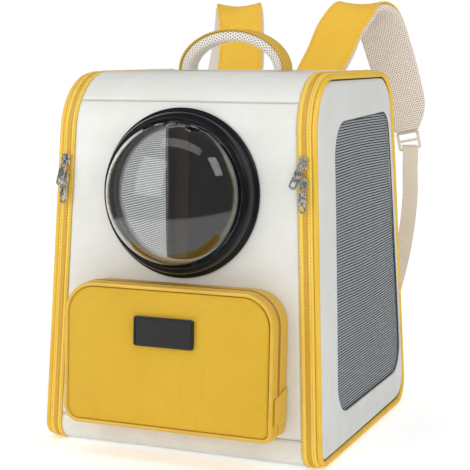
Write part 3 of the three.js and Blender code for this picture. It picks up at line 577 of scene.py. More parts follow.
def puffed(thing, held, pressure, slack, steps, cap):
    """Cloth simulation of a sewn sheet. Held points stay, the cloth is slack by a share of its size, and air
    pushes it along its normals. No point moves further than cap from where it starts."""
    group = thing.vertex_groups.new(name="held")
    group.add(np.flatnonzero(held).tolist(), 1.0, "REPLACE")
    cloth = thing.modifiers.new("cloth", "CLOTH")
    cloth.settings.quality = 6
    cloth.settings.mass = 0.3
    cloth.settings.tension_stiffness = 20
    cloth.settings.compression_stiffness = 20
    cloth.settings.bending_stiffness = 0.6
    cloth.settings.vertex_group_mass = "held"
    cloth.settings.shrink_min = -slack
    cloth.settings.use_pressure = True
    cloth.settings.uniform_pressure_force = pressure
    cloth.settings.effector_weights.gravity = 0
    cloth.point_cache.frame_end = steps
    for step in range(1, steps + 1):
        scene.frame_set(step)
    moved = thing.evaluated_get(bpy.context.evaluated_depsgraph_get()).to_mesh()
    start, end = (np.zeros(len(thing.data.vertices) * 3) for _ in range(2))
    thing.data.vertices.foreach_get("co", start)
    moved.vertices.foreach_get("co", end)
    step = (end - start).reshape(-1, 3)
    length = np.linalg.norm(step, axis=1, keepdims=True)
    step *= cap * np.tanh(length / cap) / np.maximum(length, 1e-9)
    thing.modifiers.remove(cloth)
    thing.vertex_groups.remove(group)
    thing.data.vertices.foreach_set("co", start + step.ravel())
    thing.data.update()
    scene.frame_set(1)
    return thing


# a runs across the back from -1 to 1 and b down it from 0 to 1. The cloth stands out by the lift: it is
# hemmed at the edge, drawn in along each sewn line, and foam rounds it between those lines.
b, a = grid(150, 121)
a = 2 * a - 1
start, end = back_seam + SEAM_GAP, back_base_seam - SEAM_GAP
s = start + (end - start) * b
reach = half_width(along(side_line, s)[0][..., 1]) - BAND_WIDTH
edge = np.minimum(np.minimum(s - start, end - s), (1 - np.abs(a)) * reach)
field = (np.abs(a) < BACK_FIELD) & (b > BACK_FIELD_FROM) & (b < BACK_FIELD_TO)
seams = np.abs(np.abs(a) - BACK_FIELD)
for channel in BACK_CHANNELS:
    seams = np.minimum(seams, np.abs(a - channel))
ends = np.minimum(np.abs(b - BACK_FIELD_FROM), np.abs(b - BACK_FIELD_TO)) * (end - start)
sewn = np.minimum(seams * BACK_REACH, ends)
cushion = np.where(field, 1 - np.exp(-(sewn / PUFF_ROUNDING) ** 2), 0)
back_lift = hem(edge) - 0.4 * MM - np.exp(-(sewn / (1.6 * MM)) ** 2) * field * 0.8 * MM
points = on_wrap(s, back_lift, lambda half: a * (half - BAND_WIDTH))
back_pad = mesh_piece("back_pad", [{"points": points, "uv": np.stack([a * reach, s], -1)}],
                      [white_panel, dark_lining, beige_mesh, dark_lining], weld=False)
inside = field[:-1, :-1] & field[1:, 1:]
back_pad.data.polygons.foreach_set("material_index", np.where(inside, 2, 0).astype(np.int32).ravel())
puffed(back_pad, ((cushion < 0.25) | ~field).ravel(), 1.6, 0.015, 14, BACK_PUFF)
thickened(back_pad, CLOTH_THICKNESS, 1)
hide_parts("back_panel")
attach(back_pad, "pack")

# Side edges: a zip runs round each side, two yellow tapes with a nylon coil between them, set a little
# lower than the wrap, and a thick piping covers the edge of the side panel outside them.
BAND_FALL = 2 * MM
PIPING_RADIUS = 3 * MM
TOOTH_PITCH = 1.9 * MM
COIL_INSET = 13.75 * MM
COIL_WIDTH = 4.6 * MM
TAPE_SECTION = np.array([
    [21.3, -3.2], [21.3, -0.9], [21.15, -0.15], [20.6, 0.05], [18.6, 0.3], [17.0, 0.35], [16.5, 0.0],
    [16.25, -0.9], [16.0, -1.2], [11.5, -1.2], [11.3, -0.9], [11.1, 0.1], [10.5, 0.55], [8.4, 0.75],
    [6.7, 0.55], [6.15, 0.0], [5.95, -1.3], [5.8, -3.2]]) * MM


def band_drop(inset):
    """How far the zip band's face lies below the wrap, at an inset from the side's edge."""
    return BAND_FALL * (BAND_WIDTH - inset) / (BAND_WIDTH - 2 * PIPING_RADIUS)


def rolled(section, count):
    """A section's points made smooth: they are rounded by a curve through their middles."""
    run = np.concatenate([[0], np.cumsum(np.linalg.norm(np.diff(section, axis=0), axis=1))])
    at = np.linspace(0, run[-1], count)
    fine = np.stack([np.interp(at, run, section[:, k]) for k in (0, 1)], -1)
    fine[1:-1] = (fine[:-2] + 2 * fine[1:-1] + fine[2:]) / 4
    return fine


def edge_loop(name, side, section, count, materials):
    """A closed section of insets and depths carried all round the side outline."""
    turn = np.linspace(0, side_girth, count, endpoint=False)
    s, inset = np.meshgrid(turn, section[:, 0], indexing="ij")
    depth = np.broadcast_to(section[:, 1], s.shape)
    points = on_wrap(s, depth, lambda half: side * (half - inset))
    width = np.concatenate([[0], np.cumsum(np.linalg.norm(np.diff(section, axis=0), axis=1))])
    width = np.append(width, width[-1] + np.linalg.norm(section[0] - section[-1]))
    uv = np.stack(np.meshgrid(width, np.append(turn, side_girth)), -1)
    patch = {"points": points, "uv": uv, "closed": (True, True), "flip": side < 0}
    piece = mesh_piece(name, [patch], materials, weld=False)
    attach(piece, "pack")
    return piece


def zip_coil_strip(at, rise, width, length, pitch, steps=4, columns=8):
    """A nylon coil: two rows of round teeth, half a pitch apart, with a groove between them.
    at(share of the width, distance, height) gives the points."""
    count = int(length / pitch) * steps
    s, u = np.meshgrid(np.linspace(0, length, count), np.linspace(-1, 1, columns), indexing="ij")
    wave = 0.5 + 0.5 * np.cos(2 * np.pi * (s / pitch + 0.5 * (u > 0)))
    dome = (1 - np.abs(u) ** 4) * (0.55 + 0.45 * wave) * (1 - 0.55 * np.exp(-(u / 0.16) ** 2))
    return {"points": at(u, s, rise * dome), "uv": np.stack([u * width / 2, s], -1)}


yellow_tape = woven_cloth("yellow_tape", "FFE566", "F6CC48", 0.0009, 0.5, 0.0003, sheen=0.1)
yellow_piping = coated_cloth("yellow_piping", "F8CE48", "F0BD33", "B98A22", 0.4, 0.0004)


def nylon_coil(name, light, dark):
    """Moulded nylon: a slightly mottled colour, darkened between the teeth by painted shade, with a soft
    gloss.
    """
    material, tree, shader = shaded(name, Coat_Weight=0.15, Coat_Roughness=0.3)
    flat = put(tree, "UVMap", uv_map="cloth").outputs[0]
    stripe = put(tree, "SeparateXYZ", {"Vector": flat}).outputs["Y"]
    # Painted shade: the colour darkens once per tooth pitch, between the teeth.
    wave = math_node(tree, "SINE", math_node(tree, "MULTIPLY", stripe, 2 * math.pi / TOOTH_PITCH))
    noise = put(tree, "TexNoise", {"Vector": flat, "Scale": 900.0}).outputs[0]
    shade = math_node(tree, "MULTIPLY_ADD", wave, 0.25, noise, clamp=True)
    tree.links.new(colour_mix(tree, shade, linear(dark), linear(light)), shader.inputs["Base Color"])
    tree.links.new(ranged(tree, noise, 0.3, 0.5), shader.inputs["Roughness"])
    bumped(tree, shader, (noise, 0.00005))
    return material


yellow_coil = nylon_coil("yellow_coil", "F0BF3C", "CF961F")
LOOP_STEPS = 640
BINDING_SECTION = np.array([[3.2, -9.5], [6.0, -4.2], [23.5, -3.6], [30.0, -3.3], [30.0, -3.9], [23.5, -4.4],
                            [6.6, -5.0], [4.2, -9.8]]) * MM
for side, tag in ((-1, "left"), (1, "right")):
    inner = edge_loop(f"inner_binding_{tag}", side, rolled(BINDING_SECTION, 18)[::-1], 260, [brown_lining])

    tape_section = rolled(TAPE_SECTION, 36)
    tape_section[:, 1] -= band_drop(tape_section[:, 0])
    tape = edge_loop(f"zip_tape_{tag}", side, tape_section, LOOP_STEPS, [yellow_tape])
    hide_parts(f"zip_band_{tag}")

    angle = np.linspace(0, 2 * np.pi, 18, endpoint=False)
    cord_section = np.stack([PIPING_RADIUS * (1 + np.cos(angle)),
                             -BAND_FALL - PIPING_RADIUS * (1 + np.sin(angle))], -1)
    piping = edge_loop(f"edge_piping_{tag}", side, cord_section[::-1], LOOP_STEPS, [yellow_piping])
    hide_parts(f"side_piping_{tag}")

    def on_band(u, s, height):
        """Points on the zip band: across the coil, along the side outline and above the band's face."""
        inset = COIL_INSET + u * COIL_WIDTH / 2
        return on_wrap(s, height - band_drop(inset) - 0.9 * MM, lambda half: side * (half - inset))

    strip = zip_coil_strip(on_band, 1.5 * MM, COIL_WIDTH, side_girth, TOOTH_PITCH)
    strip["flip"] = side > 0
    coil = mesh_piece(f"side_coil_{tag}", [strip], [yellow_coil])
    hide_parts(f"zip_coil_{tag}")
    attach(coil, "pack")

# Sides: a pale grey coated panel inside the piping, with its edge turned in round a tall window, and
# behind the window a grey mesh that is woven in bars, sags a little and lets some light through.
SIDE_RECESS = 2.5 * MM
WINDOW_LOW, WINDOW_HIGH, WINDOW_BACK_RISE = 46 * MM, 364 * MM, 6 * MM
WINDOW_FRONT_MARGIN, WINDOW_BACK_MARGIN = 59 * MM, 25 * MM
WINDOW_BACK_SPREAD = 12 * MM
SIDE_SWELL = 5 * MM
WINDOW_RADII = (36 * MM, 44 * MM, 24 * MM, 34 * MM)
WINDOW_OVERLAP = 7 * MM
MESH_INSET = 5.9 * MM
MESH_SAG = 2.5 * MM
BAR_PITCH = 3.1 * MM


def side_depth(z):
    """Half the body's depth at a height."""
    return (BASE_DEPTH + (TOP_DEPTH - BASE_DEPTH) * z / BODY_HEIGHT) / 2


def back_margin(z):
    """Margin between the window and the side's back edge: it narrows towards the base."""
    return WINDOW_BACK_MARGIN - WINDOW_BACK_SPREAD * (1 - z / WINDOW_HIGH)


def side_swell(y, z):
    """How far the side's cloth swells outwards: most in the middle, nothing along its border."""
    across = np.clip(np.abs(y) / side_depth(z), 0, 1)
    return SIDE_SWELL * (1 - across ** 6) * (1 - np.clip(np.abs(2 * z / BODY_HEIGHT - 1), 0, 1) ** 4)


def window_corner(front, high, grow=0.0):
    """A corner of the window in the side view."""
    z = WINDOW_HIGH + grow + (0 if front else WINDOW_BACK_RISE) if high else WINDOW_LOW - grow
    y = -side_depth(z) + WINDOW_FRONT_MARGIN - grow if front else side_depth(z) - back_margin(z) + grow
    return [y, z]


window_line = rounded_line(np.array([window_corner(True, False), window_corner(True, True),
                                     window_corner(False, True), window_corner(False, False)]),
                           WINDOW_RADII)
border_line = (side_line[0] - side_line[1] * (BAND_FALL + 2 * PIPING_RADIUS + 0.3 * MM), side_line[1])


def build_bars(tree, given):
    """Bars of yarn across the cloth: round ridges with a narrow gap between them, and fine threads
    that cross the gap."""
    parts = put(tree, "SeparateXYZ", {"Vector": given["Vector"]}).outputs
    phase = math_node(tree, "MULTIPLY", parts["Y"], 2 * math.pi / BAR_PITCH)
    ridge = math_node(tree, "MULTIPLY_ADD", math_node(tree, "SINE", phase), 0.5, 0.5)
    bar = ranged(tree, ridge, 0.0, 1.0, 0.12, 0.5, interpolation_type="SMOOTHSTEP")
    cross = math_node(tree, "SINE", math_node(tree, "MULTIPLY", parts["X"], 5200.0))
    cross = math_node(tree, "MULTIPLY_ADD", cross, 0.5, 0.5)
    fuzz = put(tree, "TexNoise", {"Vector": given["Vector"], "Scale": 700.0, "Detail": 3.0}).outputs[0]
    return bar, math_node(tree, "MAXIMUM", ridge, math_node(tree, "MULTIPLY", cross, 0.5)), fuzz


barred = effect("barred", {"Vector": None}, ["Bar", "Height", "Fuzz"], build_bars)
grey_mesh, tree, shader = shaded("grey_mesh")
shader.inputs["Specular IOR Level"].default_value = 0.25
weave = use(tree, barred, Vector=put(tree, "UVMap", uv_map="cloth").outputs[0])
yarn = colour_mix(tree, weave["Fuzz"], linear("A6ADB1"), linear("C0C6CA"))
# Painted shade: the gaps between the bars take a dark grey, for the shaded inside seen through them.
tree.links.new(colour_mix(tree, weave["Bar"], linear("666D71"), yarn), shader.inputs["Base Color"])
tree.links.new(ranged(tree, weave["Fuzz"], 0.6, 0.85), shader.inputs["Roughness"])
tree.links.new(ranged(tree, weave["Bar"], 0.22, 0.78), shader.inputs["Alpha"])
bumped(tree, shader, (weave["Height"], 0.0006))

# Painted shade: a dark grey cloth for the cord that darkens the window's edge.
edge_shade_cloth = woven_cloth("edge_shade_cloth", "4C5256", "34393D", 0.0006, 0.7, 0.0002)
for side, tag in ((-1, "left"), (1, "right")):
    # The panel: rings of points from the window's line, t = 0, out to the piping, t = 1.
    t, turn = grid(26, 420, (False, True))
    inner = along(window_line, turn * girth(window_line))[0]
    outer = along(border_line, turn * girth(border_line))[0]
    place = inner * (1 - t[..., None]) + outer * t[..., None]
    run = np.linalg.norm(outer - inner, axis=-1)
    y, z = place[..., 0], place[..., 1]
    lift = hem(t * run, 1.4 * MM, 2.6 * MM) + hem((1 - t) * run, 3.0 * MM, 2.2 * MM)
    lift += 0.5 * MM * ripple(y, z, 11 + side, 0.13) * np.minimum(1, np.minimum(t, 1 - t) * run / (12 * MM))
    points = np.stack([side * (half_width(z) - SIDE_RECESS + lift + side_swell(y, z) - 0.3 * MM), y, z], -1)
    uv = np.concatenate([place, place[:, :1]], 1)
    panel = mesh_piece(f"side_cloth_{tag}", [{"points": points, "uv": uv, "closed": (False, True),
                                             "flip": side < 0}], [grey_panel, brown_lining])
    thickened(panel, CLOTH_THICKNESS, 1)
    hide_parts(f"side_panel_{tag}")
    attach(panel, "pack")

    # A thin dark cord with eight sides round the window's line: painted shade along the window's edge, where
    # the panel's cloth turns in.
    cord_angle, turn = np.meshgrid(np.arange(8) * np.pi / 4, np.linspace(0, 1, 500, endpoint=False))
    spot, away = along(window_line, turn * girth(window_line))
    spot = spot + away * (0.3 * MM + 0.7 * MM * np.cos(cord_angle))[..., None]
    level = half_width(spot[..., 1]) + side_swell(spot[..., 0], spot[..., 1]) - SIDE_RECESS - 2.1 * MM
    level = level + 0.7 * MM * np.sin(cord_angle)
    uv = np.stack([np.pad(cord_angle, ((0, 1), (0, 1))), np.pad(turn, ((0, 1), (0, 1)))], -1) * MM
    edge_shade_cord = mesh_piece(f"window_edge_shade_{tag}", [{
        "points": np.concatenate([side * level[..., None], spot], -1), "uv": uv, "closed": (True, True),
        "flip": side < 0}], [edge_shade_cloth])
    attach(edge_shade_cord, "pack")

    # The mesh: it sags inwards as a raised sine both ways, and its bars bow with the slack.
    b, a = grid(110, 80)
    low, high = WINDOW_LOW - WINDOW_OVERLAP, WINDOW_HIGH + WINDOW_BACK_RISE + WINDOW_OVERLAP
    z = low + (high - low) * b
    front = -side_depth(z) + WINDOW_FRONT_MARGIN - WINDOW_OVERLAP
    back = side_depth(z) - back_margin(z) + WINDOW_OVERLAP
    y = front + (back - front) * a
    slack = np.sin(np.pi * a) ** 0.7 * np.sin(np.pi * b) ** 0.7
    sag = MESH_SAG * slack * (0.75 + 0.25 * ripple(y, z, 21, 0.2))
    points = np.stack([side * (half_width(z) + side_swell(y, z) - MESH_INSET - sag), y, z], -1)
    bowed = z + 3.2 * MM * np.sin(np.pi * a) * np.sin(2 * np.pi * (b - 0.12)) * slack
    screen = mesh_piece(f"window_mesh_{tag}", [{"points": points, "uv": np.stack([y, bowed], -1),
                                               "flip": side < 0}], [grey_mesh])
    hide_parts(f"side_mesh_{tag}")
    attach(screen, "pack")

# Bubble: a glossy black injection-moulded ring with a rolled lip, screwed to the front from behind, that
# clamps a blown dome of clear acrylic. Three round air holes are drilled high in the dome.
LEAN_NORMAL = np.array([0, -math.cos(lean), math.sin(lean)])
LEAN_UP = np.array([0, math.sin(lean), math.cos(lean)])
FRONT_FOOT = np.array([0, -BASE_DEPTH / 2, 0])
RING_SECTION = np.array([
    [78.2, 0.3], [92.6, 0.3], [92.6, 1.6], [92.0, 2.9], [90.6, 4.2], [88.9, 4.8], [88.3, 5.6], [88.1, 8.2],
    [87.4, 11.6], [86.2, 14.8], [84.9, 17.2], [83.2, 18.9], [81.4, 19.6], [79.7, 19.4], [78.5, 18.4],
    [78.2, 17.0]]) * MM
DOME_RADIUS, DOME_BASE, DOME_DEPTH, DOME_WALL = 77.9 * MM, 18.5 * MM, 50 * MM, 2.5 * MM
VENT_RADIUS, VENT_RISE, VENT_ROLL = 7 * MM, 11 * MM, 20
ring_centre = RING_HEIGHT / math.cos(lean)


def on_front(x, up, depth):
    """Points over the sloping front: sideways, up along it from its foot, and out along its normal."""
    return (FRONT_FOOT + np.multiply.outer(x, [1.0, 0, 0]) + np.multiply.outer(up, LEAN_UP)
            + np.multiply.outer(depth, LEAN_NORMAL))


def turned(name, section, steps, materials, closed_section):
    """A section of radii and depths turned round the bubble's axis."""
    angle = np.linspace(0, 2 * np.pi, steps, endpoint=False)
    a, r = np.meshgrid(angle, section[:, 0], indexing="ij")
    depth = np.broadcast_to(section[:, 1], a.shape)
    points = on_front(r * np.cos(a), ring_centre + r * np.sin(a), depth)
    run = np.concatenate([[0], np.cumsum(np.linalg.norm(np.diff(section, axis=0), axis=1))])
    if closed_section:
        run = np.append(run, run[-1] + 0.001)
    uv = np.stack(np.meshgrid(run, np.append(angle, 2 * np.pi) * section[0, 0]), -1)
    piece = mesh_piece(name, [{"points": points, "uv": uv, "closed": (True, closed_section)}], materials)
    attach(piece, "pack")
    return piece


def moulded(name, light, dark, roughness, coat, grain):
    """Moulded plastic: a nearly even colour with flow marks, fine grain and handling haze in the gloss."""
    material, tree, shader = shaded(name, Coat_Weight=coat, Coat_Roughness=0.12)
    spot = put(tree, "TexCoord").outputs["Object"]
    flow = put(tree, "TexNoise", {"Vector": spot, "Scale": 30.0, "Detail": 3.0, "Distortion": 1.2}).outputs[0]
    fine = put(tree, "TexNoise", {"Vector": spot, "Scale": 1800.0, "Detail": 2.0}).outputs[0]
    tree.links.new(colour_mix(tree, flow, linear(dark), linear(light)), shader.inputs["Base Color"])
    tree.links.new(ranged(tree, flow, roughness, roughness + 0.1), shader.inputs["Roughness"])
    bumped(tree, shader, (fine, grain))
    return material


black_plastic = moulded("black_plastic", "15181E", "0E1116", 0.16, 0.0, 0.00001)
black_plastic.node_tree.nodes["Principled BSDF"].inputs["Specular IOR Level"].default_value = 0.4
ring = turned("bubble_ring", rolled(RING_SECTION, 60)[::-1], 256, [black_plastic], True)
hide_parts("dome_ring")

clear_dome, tree, shader = shaded("clear_dome", Transmission_Weight=1.0, IOR=1.45, Coat_Weight=1.0,
                                  Coat_IOR=1.8, Coat_Roughness=0.03)
spot = put(tree, "TexCoord").outputs["Object"]
haze = put(tree, "TexNoise", {"Vector": spot, "Scale": 22.0, "Detail": 4.0, "Distortion": 0.8}).outputs[0]
tree.links.new(colour_mix(tree, haze, linear("F4F7F8"), linear("FCFDFD")), shader.inputs["Base Color"])
tree.links.new(ranged(tree, haze, 0.0, 0.05, 0.45, 0.8), shader.inputs["Roughness"])
wave = put(tree, "TexNoise", {"Vector": spot, "Scale": 9.0}).outputs[0]
bumped(tree, shader, (wave, 0.0002))

# The dome is half an ellipsoid, an outer and an inner skin with a short foot inside the ring. Each air
# hole is drilled square to the skin, at its own turn from the top round the bubble's axis.
arc = np.linspace(0, np.pi / 2 - 0.004, 46)
outer, inner = (np.stack([(DOME_RADIUS - wall) * np.cos(arc),
                          DOME_BASE + (DOME_DEPTH - wall) * np.sin(arc)], -1) for wall in (0, DOME_WALL))
foot = np.array([[DOME_RADIUS - DOME_WALL, 0.3 * MM], [DOME_RADIUS, 0.3 * MM]])
dome_section = np.vstack([inner[::-1], foot, outer])
dome_section[[0, -1], 0] = 0
dome = turned("bubble_dome", dome_section[::-1], 160, [clear_dome], False)

vent_angle = math.asin(VENT_RISE / DOME_DEPTH)
for roll in (-VENT_ROLL, 0, VENT_ROLL):
    r = math.radians(roll)
    out_radius = DOME_RADIUS * math.cos(vent_angle)
    middle = on_front(out_radius * math.sin(r), ring_centre + out_radius * math.cos(r), DOME_BASE + VENT_RISE)
    slope = math.atan2(math.sin(vent_angle) / DOME_DEPTH, math.cos(vent_angle) / DOME_RADIUS)
    outward = (math.cos(slope) * (math.sin(r) * np.array([1.0, 0, 0]) + math.cos(r) * LEAN_UP)
               + math.sin(slope) * LEAN_NORMAL)
    bpy.ops.mesh.primitive_cylinder_add(vertices=48, radius=VENT_RADIUS, depth=16 * MM, location=middle)
    drill = bpy.context.object
    drill.rotation_euler = Vector(outward).to_track_quat("Z", "Y").to_euler()
    cut = dome.modifiers.new("vent", "BOOLEAN")
    cut.operation = "DIFFERENCE"
    cut.solver = "EXACT"
    cut.object = drill
    drilled = bpy.data.meshes.new_from_object(dome.evaluated_get(bpy.context.evaluated_depsgraph_get()))
    dome.modifiers.remove(cut)
    dome.data = drilled
    bpy.data.objects.remove(drill)
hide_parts("dome_bubble")

# Pocket: yellow woven cloth over thin foam, with a gusset all round, piping on its front edge, a coil zip
# in the gusset's sides and top, and two sewn patches that close the zip's ends. Its face isn't quilted, so
# it swells a little. A blank rubber label is sewn on it.
POCKET_CENTRE = np.array([4 * MM, 114 * MM / math.cos(lean)])
POCKET_HALF = np.array([123 * MM, 78 * MM / math.cos(lean)])
POCKET_RADII = (18 * MM, 36 * MM, 36 * MM, 11 * MM)
POCKET_DEPTH = 42 * MM
POCKET_PIPING = 2.25 * MM
POCKET_BULGE = 5 * MM
POCKET_WALL = 3 * MM
POCKET_STEPS = 440
POCKET_ZIP_DEPTH, POCKET_ZIP_WIDTH = 25 * MM, 5 * MM
FACE_INSET = 4.8 * MM
PATCH_TOP = 46 * MM
LABEL_SIZE = (70 * MM, 32 * MM)
LABEL_HEIGHT, LABEL_SEAT = 144 * MM, 46.3 * MM

pocket_line = rounded_line(POCKET_CENTRE + POCKET_HALF * np.array([[-1, -1], [-1, 1], [1, 1], [1, -1]]),
                           POCKET_RADII)
pocket_girth = girth(pocket_line)
yellow_cloth = woven_cloth("yellow_cloth", "E6BB2C", "DBAC22", 0.0007, 0.72, 0.0009)
pocket_coil = nylon_coil("pocket_coil", "D09020", "8C5A10")
pocket_cord = coated_cloth("pocket_cord", "EBC045", "DDAE30", "A97C1E", 0.45, 0.0004)


def on_pocket(s, out, depth):
    """Points round the pocket: along its outline, out from it and away from the front."""
    spot, away = along(pocket_line, s)
    return on_front(spot[..., 0] + away[..., 0] * out, spot[..., 1] + away[..., 1] * out, depth)


def pocket_loop(name, section, materials):
    """A closed section of outs and depths carried round the pocket's outline."""
    turn = np.linspace(0, pocket_girth, POCKET_STEPS, endpoint=False)
    s, out = np.meshgrid(turn, section[:, 0], indexing="ij")
    depth = np.broadcast_to(section[:, 1], s.shape)
    run = np.concatenate([[0], np.cumsum(np.linalg.norm(np.diff(section, axis=0), axis=1))])
    uv = np.stack(np.meshgrid(np.append(run, run[-1] + 1 * MM), np.append(turn, pocket_girth)), -1)
    if name == "pocket_sides":
        outside = section[:, 0] > -1 * MM
        swell = np.sin(np.pi * np.clip(depth / (POCKET_DEPTH - 2 * POCKET_PIPING), 0, 1)) * outside
        out = out + 0.5 * MM * swell * (ripple(s, depth, 31, 0.09) - 0.6)
    patch = {"points": on_pocket(s, out, depth), "uv": uv, "closed": (True, True)}
    piece = mesh_piece(name, [patch], materials, weld=False)
    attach(piece, "pack")
    return piece


gusset_top = POCKET_DEPTH - 2 * POCKET_PIPING - 0.3 * MM
rise = np.linspace(0.3 * MM, gusset_top, 40)
outer_wall = np.stack([-0.9 * MM * np.exp(-((gusset_top - rise) / (1.5 * MM)) ** 2), rise], -1)
gusset_section = np.vstack([[[-POCKET_WALL, gusset_top], [-POCKET_WALL, 0.3 * MM]], outer_wall])
gusset = pocket_loop("pocket_sides", gusset_section, [yellow_cloth])
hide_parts("pocket_gusset")

angle = np.linspace(0, 2 * np.pi, 14, endpoint=False)
cord = np.stack([POCKET_PIPING * (np.cos(angle) - 1), POCKET_DEPTH + POCKET_PIPING * (np.sin(angle) - 1)], -1)
rim = pocket_loop("pocket_rim", cord, [pocket_cord])
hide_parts("pocket_piping")
for name, welt_depth in (("rear", POCKET_ZIP_DEPTH - 5 * MM), ("fore", POCKET_ZIP_DEPTH + 5 * MM)):
    fold = np.stack([0.9 * MM * np.cos(angle), welt_depth + 1.5 * MM * np.sin(angle)], -1)
    welt_piece = pocket_loop(f"pocket_welt_{name}", fold, [pocket_cord])

# The face: rings of points from the piping, t = 0, in to the middle, t = 1. It bulges as a flat-topped
# product of fourth powers, with ripples that stop at the label.
t, turn = grid(44, 300, (False, True))
s = turn * pocket_girth
spot, away = along(pocket_line, s)
share = 1 - t
edge_spot = spot - away * (FACE_INSET + 0.2 * MM)
centre = POCKET_CENTRE
flat = centre + (edge_spot - centre) * share[..., None]
square = np.abs((flat - centre) / (POCKET_HALF - FACE_INSET))
bulge = (1 - np.clip(square[..., 0], 0, 1) ** 4) * (1 - np.clip(square[..., 1], 0, 1) ** 4)
label_gap = np.maximum(np.abs(flat[..., 0] - centre[0]) - LABEL_SIZE[0] / 2 - 4 * MM,
                       np.abs(flat[..., 1] - LABEL_HEIGHT / math.cos(lean)) - LABEL_SIZE[1] / 2 - 4 * MM)
free = 1 - np.exp(-(np.maximum(label_gap, 0) / (9 * MM)) ** 2)
level = POCKET_DEPTH - 1.6 * MM + (POCKET_BULGE - 0.5 * MM) * bulge
level += 0.5 * MM * free * bulge * ripple(flat[..., 0], flat[..., 1], 41, 0.07)
face = mesh_piece("pocket_front", [{"points": on_front(flat[..., 0], flat[..., 1], level),
                                    "uv": np.concatenate([flat, flat[:, :1]], 1), "closed": (False, True),
                                    "flip": True}], [yellow_cloth])
spots = np.array([v.co for v in face.data.vertices])
x, up = spots[:, 0], (spots - FRONT_FOOT) @ LEAN_UP
hull = np.maximum(np.abs(x - centre[0]) - LABEL_SIZE[0] / 2 - 2 * MM,
                  np.abs(up - LABEL_HEIGHT / math.cos(lean)) - LABEL_SIZE[1] / 2 - 2 * MM) < 0
edge = along(pocket_line, np.linspace(0, pocket_girth, 900))[0]
reach = np.hypot(x[:, None] - edge[None, :, 0], up[:, None] - edge[None, :, 1])
border = np.min(reach, axis=1) < 7.5 * MM
puffed(face, hull | border, 1.2, 0.012, 12, 1.4 * MM)
thickened(face, 2.4 * MM)
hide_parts("pocket_face")
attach(face, "pack")

patch_top = POCKET_CENTRE[1] - POCKET_HALF[1] + PATCH_TOP
turn = np.linspace(0, pocket_girth, 4000, endpoint=False)
open_run = turn[along(pocket_line, turn)[0][:, 1] > patch_top]
zip_from = open_run[0]
zip_length = open_run[-1] - open_run[0]


def on_gusset(u, s, height):
    """Points on the pocket's coil: across it, along the outline and out from the gusset."""
    return on_pocket(zip_from + s, 0.2 * MM + height, POCKET_ZIP_DEPTH + u * POCKET_ZIP_WIDTH / 2)


strip = zip_coil_strip(on_gusset, 1.5 * MM, POCKET_ZIP_WIDTH, zip_length, TOOTH_PITCH)
coil = mesh_piece("pocket_coil", [strip], [pocket_coil])
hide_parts("pocket_zip")
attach(coil, "pack")

# The patches: b runs up the gusset and a out from the front; the top edge slants, and the rim is rounded.
for side, tag in ((-1, "left"), (1, "right")):
    b, a = grid(40, 30)
    low = POCKET_CENTRE[1] - POCKET_HALF[1] + POCKET_RADII[0]
    depth = 1.5 * MM + (gusset_top - 3 * MM) * a
    high = patch_top + 8 * MM * (1 - a)
    up = low + (high - low) * b
    rim_distance = np.minimum(np.minimum(a, 1 - a) * 34 * MM, np.minimum(b, 1 - b) * 30 * MM)
    out = 0.3 * MM + 1.0 * MM * (1 - np.exp(-(rim_distance / (1.2 * MM)) ** 2))
    points = on_front(POCKET_CENTRE[0] + side * (POCKET_HALF[0] + out), up, depth)
    patch = mesh_piece(f"pocket_tab_{tag}", [{"points": points, "uv": np.stack([depth, up], -1),
                                             "flip": side < 0}], [yellow_cloth])
    thickened(patch, 0.9 * MM)
    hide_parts(f"pocket_patch_{tag}")
    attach(patch, "pack")

label_rubber = moulded("label_rubber", "1F2024", "17181B", 0.5, 0.0, 0.00003)
label_line = rounded_line(np.array([[-1, -1], [-1, 1], [1, 1], [1, -1]]) * np.array(LABEL_SIZE) / 2,
                          (3 * MM,) * 4, 8)
LABEL_SECTION = np.array([[0, -0.6], [0, 1.5], [0.25, 1.85], [0.6, 2.0], [1.3, 2.0], [1.6, 1.6], [1.9, 1.5],
                          [2.1, 2.0], [2.5, 2.0], [2.7, 1.4], [2.9, 1.4]]) * MM
# The label's section is carried round its outline, and both its faces close at the middle.
turn = np.linspace(0, girth(label_line), 200, endpoint=False)
s, inset = np.meshgrid(turn, LABEL_SECTION[:, 0], indexing="ij")
spot, away = along(label_line, s)
spot = spot - away * inset[..., None]
depth = np.broadcast_to(LABEL_SECTION[:, 1], s.shape)
spot = np.concatenate([spot[:, :1] * 0, spot, spot[:, -1:] * 0.9, spot[:, -1:] * 0.5, spot[:, -1:] * 0], 1)
depth = np.concatenate([depth[:, :1], depth] + [depth[:, -1:]] * 3, 1) + LABEL_SEAT
points = on_front(spot[..., 0] + POCKET_CENTRE[0], spot[..., 1] + LABEL_HEIGHT / math.cos(lean), depth)
label = mesh_piece("label", [{"points": points, "uv": np.concatenate([spot, spot[:1]]),
                              "closed": (True, False)}], [label_rubber])
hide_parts("pocket_label")
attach(label, "pack")

# Zip hardware: four die-cast, chromed sliders, two on each side zip, each with a pull tag that hangs from
# the slider's bar. Their edges are rounded as castings are.
chrome, tree, shader = shaded("chrome", Metallic=0.94)
spot = put(tree, "TexCoord").outputs["Object"]
haze = put(tree, "TexNoise", {"Vector": spot, "Scale": 120.0, "Detail": 4.0}).outputs[0]
tree.links.new(colour_mix(tree, haze, linear("F0F1F3"), linear("FCFCFC")), shader.inputs["Base Color"])
tree.links.new(ranged(tree, haze, 0.12, 0.26), shader.inputs["Roughness"])
scratch = put(tree, "TexNoise", {"Vector": spot, "Scale": 700.0, "Detail": 3.0, "Distortion": 2.0}).outputs[0]
swell = put(tree, "TexNoise", {"Vector": spot, "Scale": 160.0, "Detail": 0.0, "Distortion": 0.5}).outputs[0]
bumped(tree, shader, (swell, 0.0042), (scratch, 0.00002))


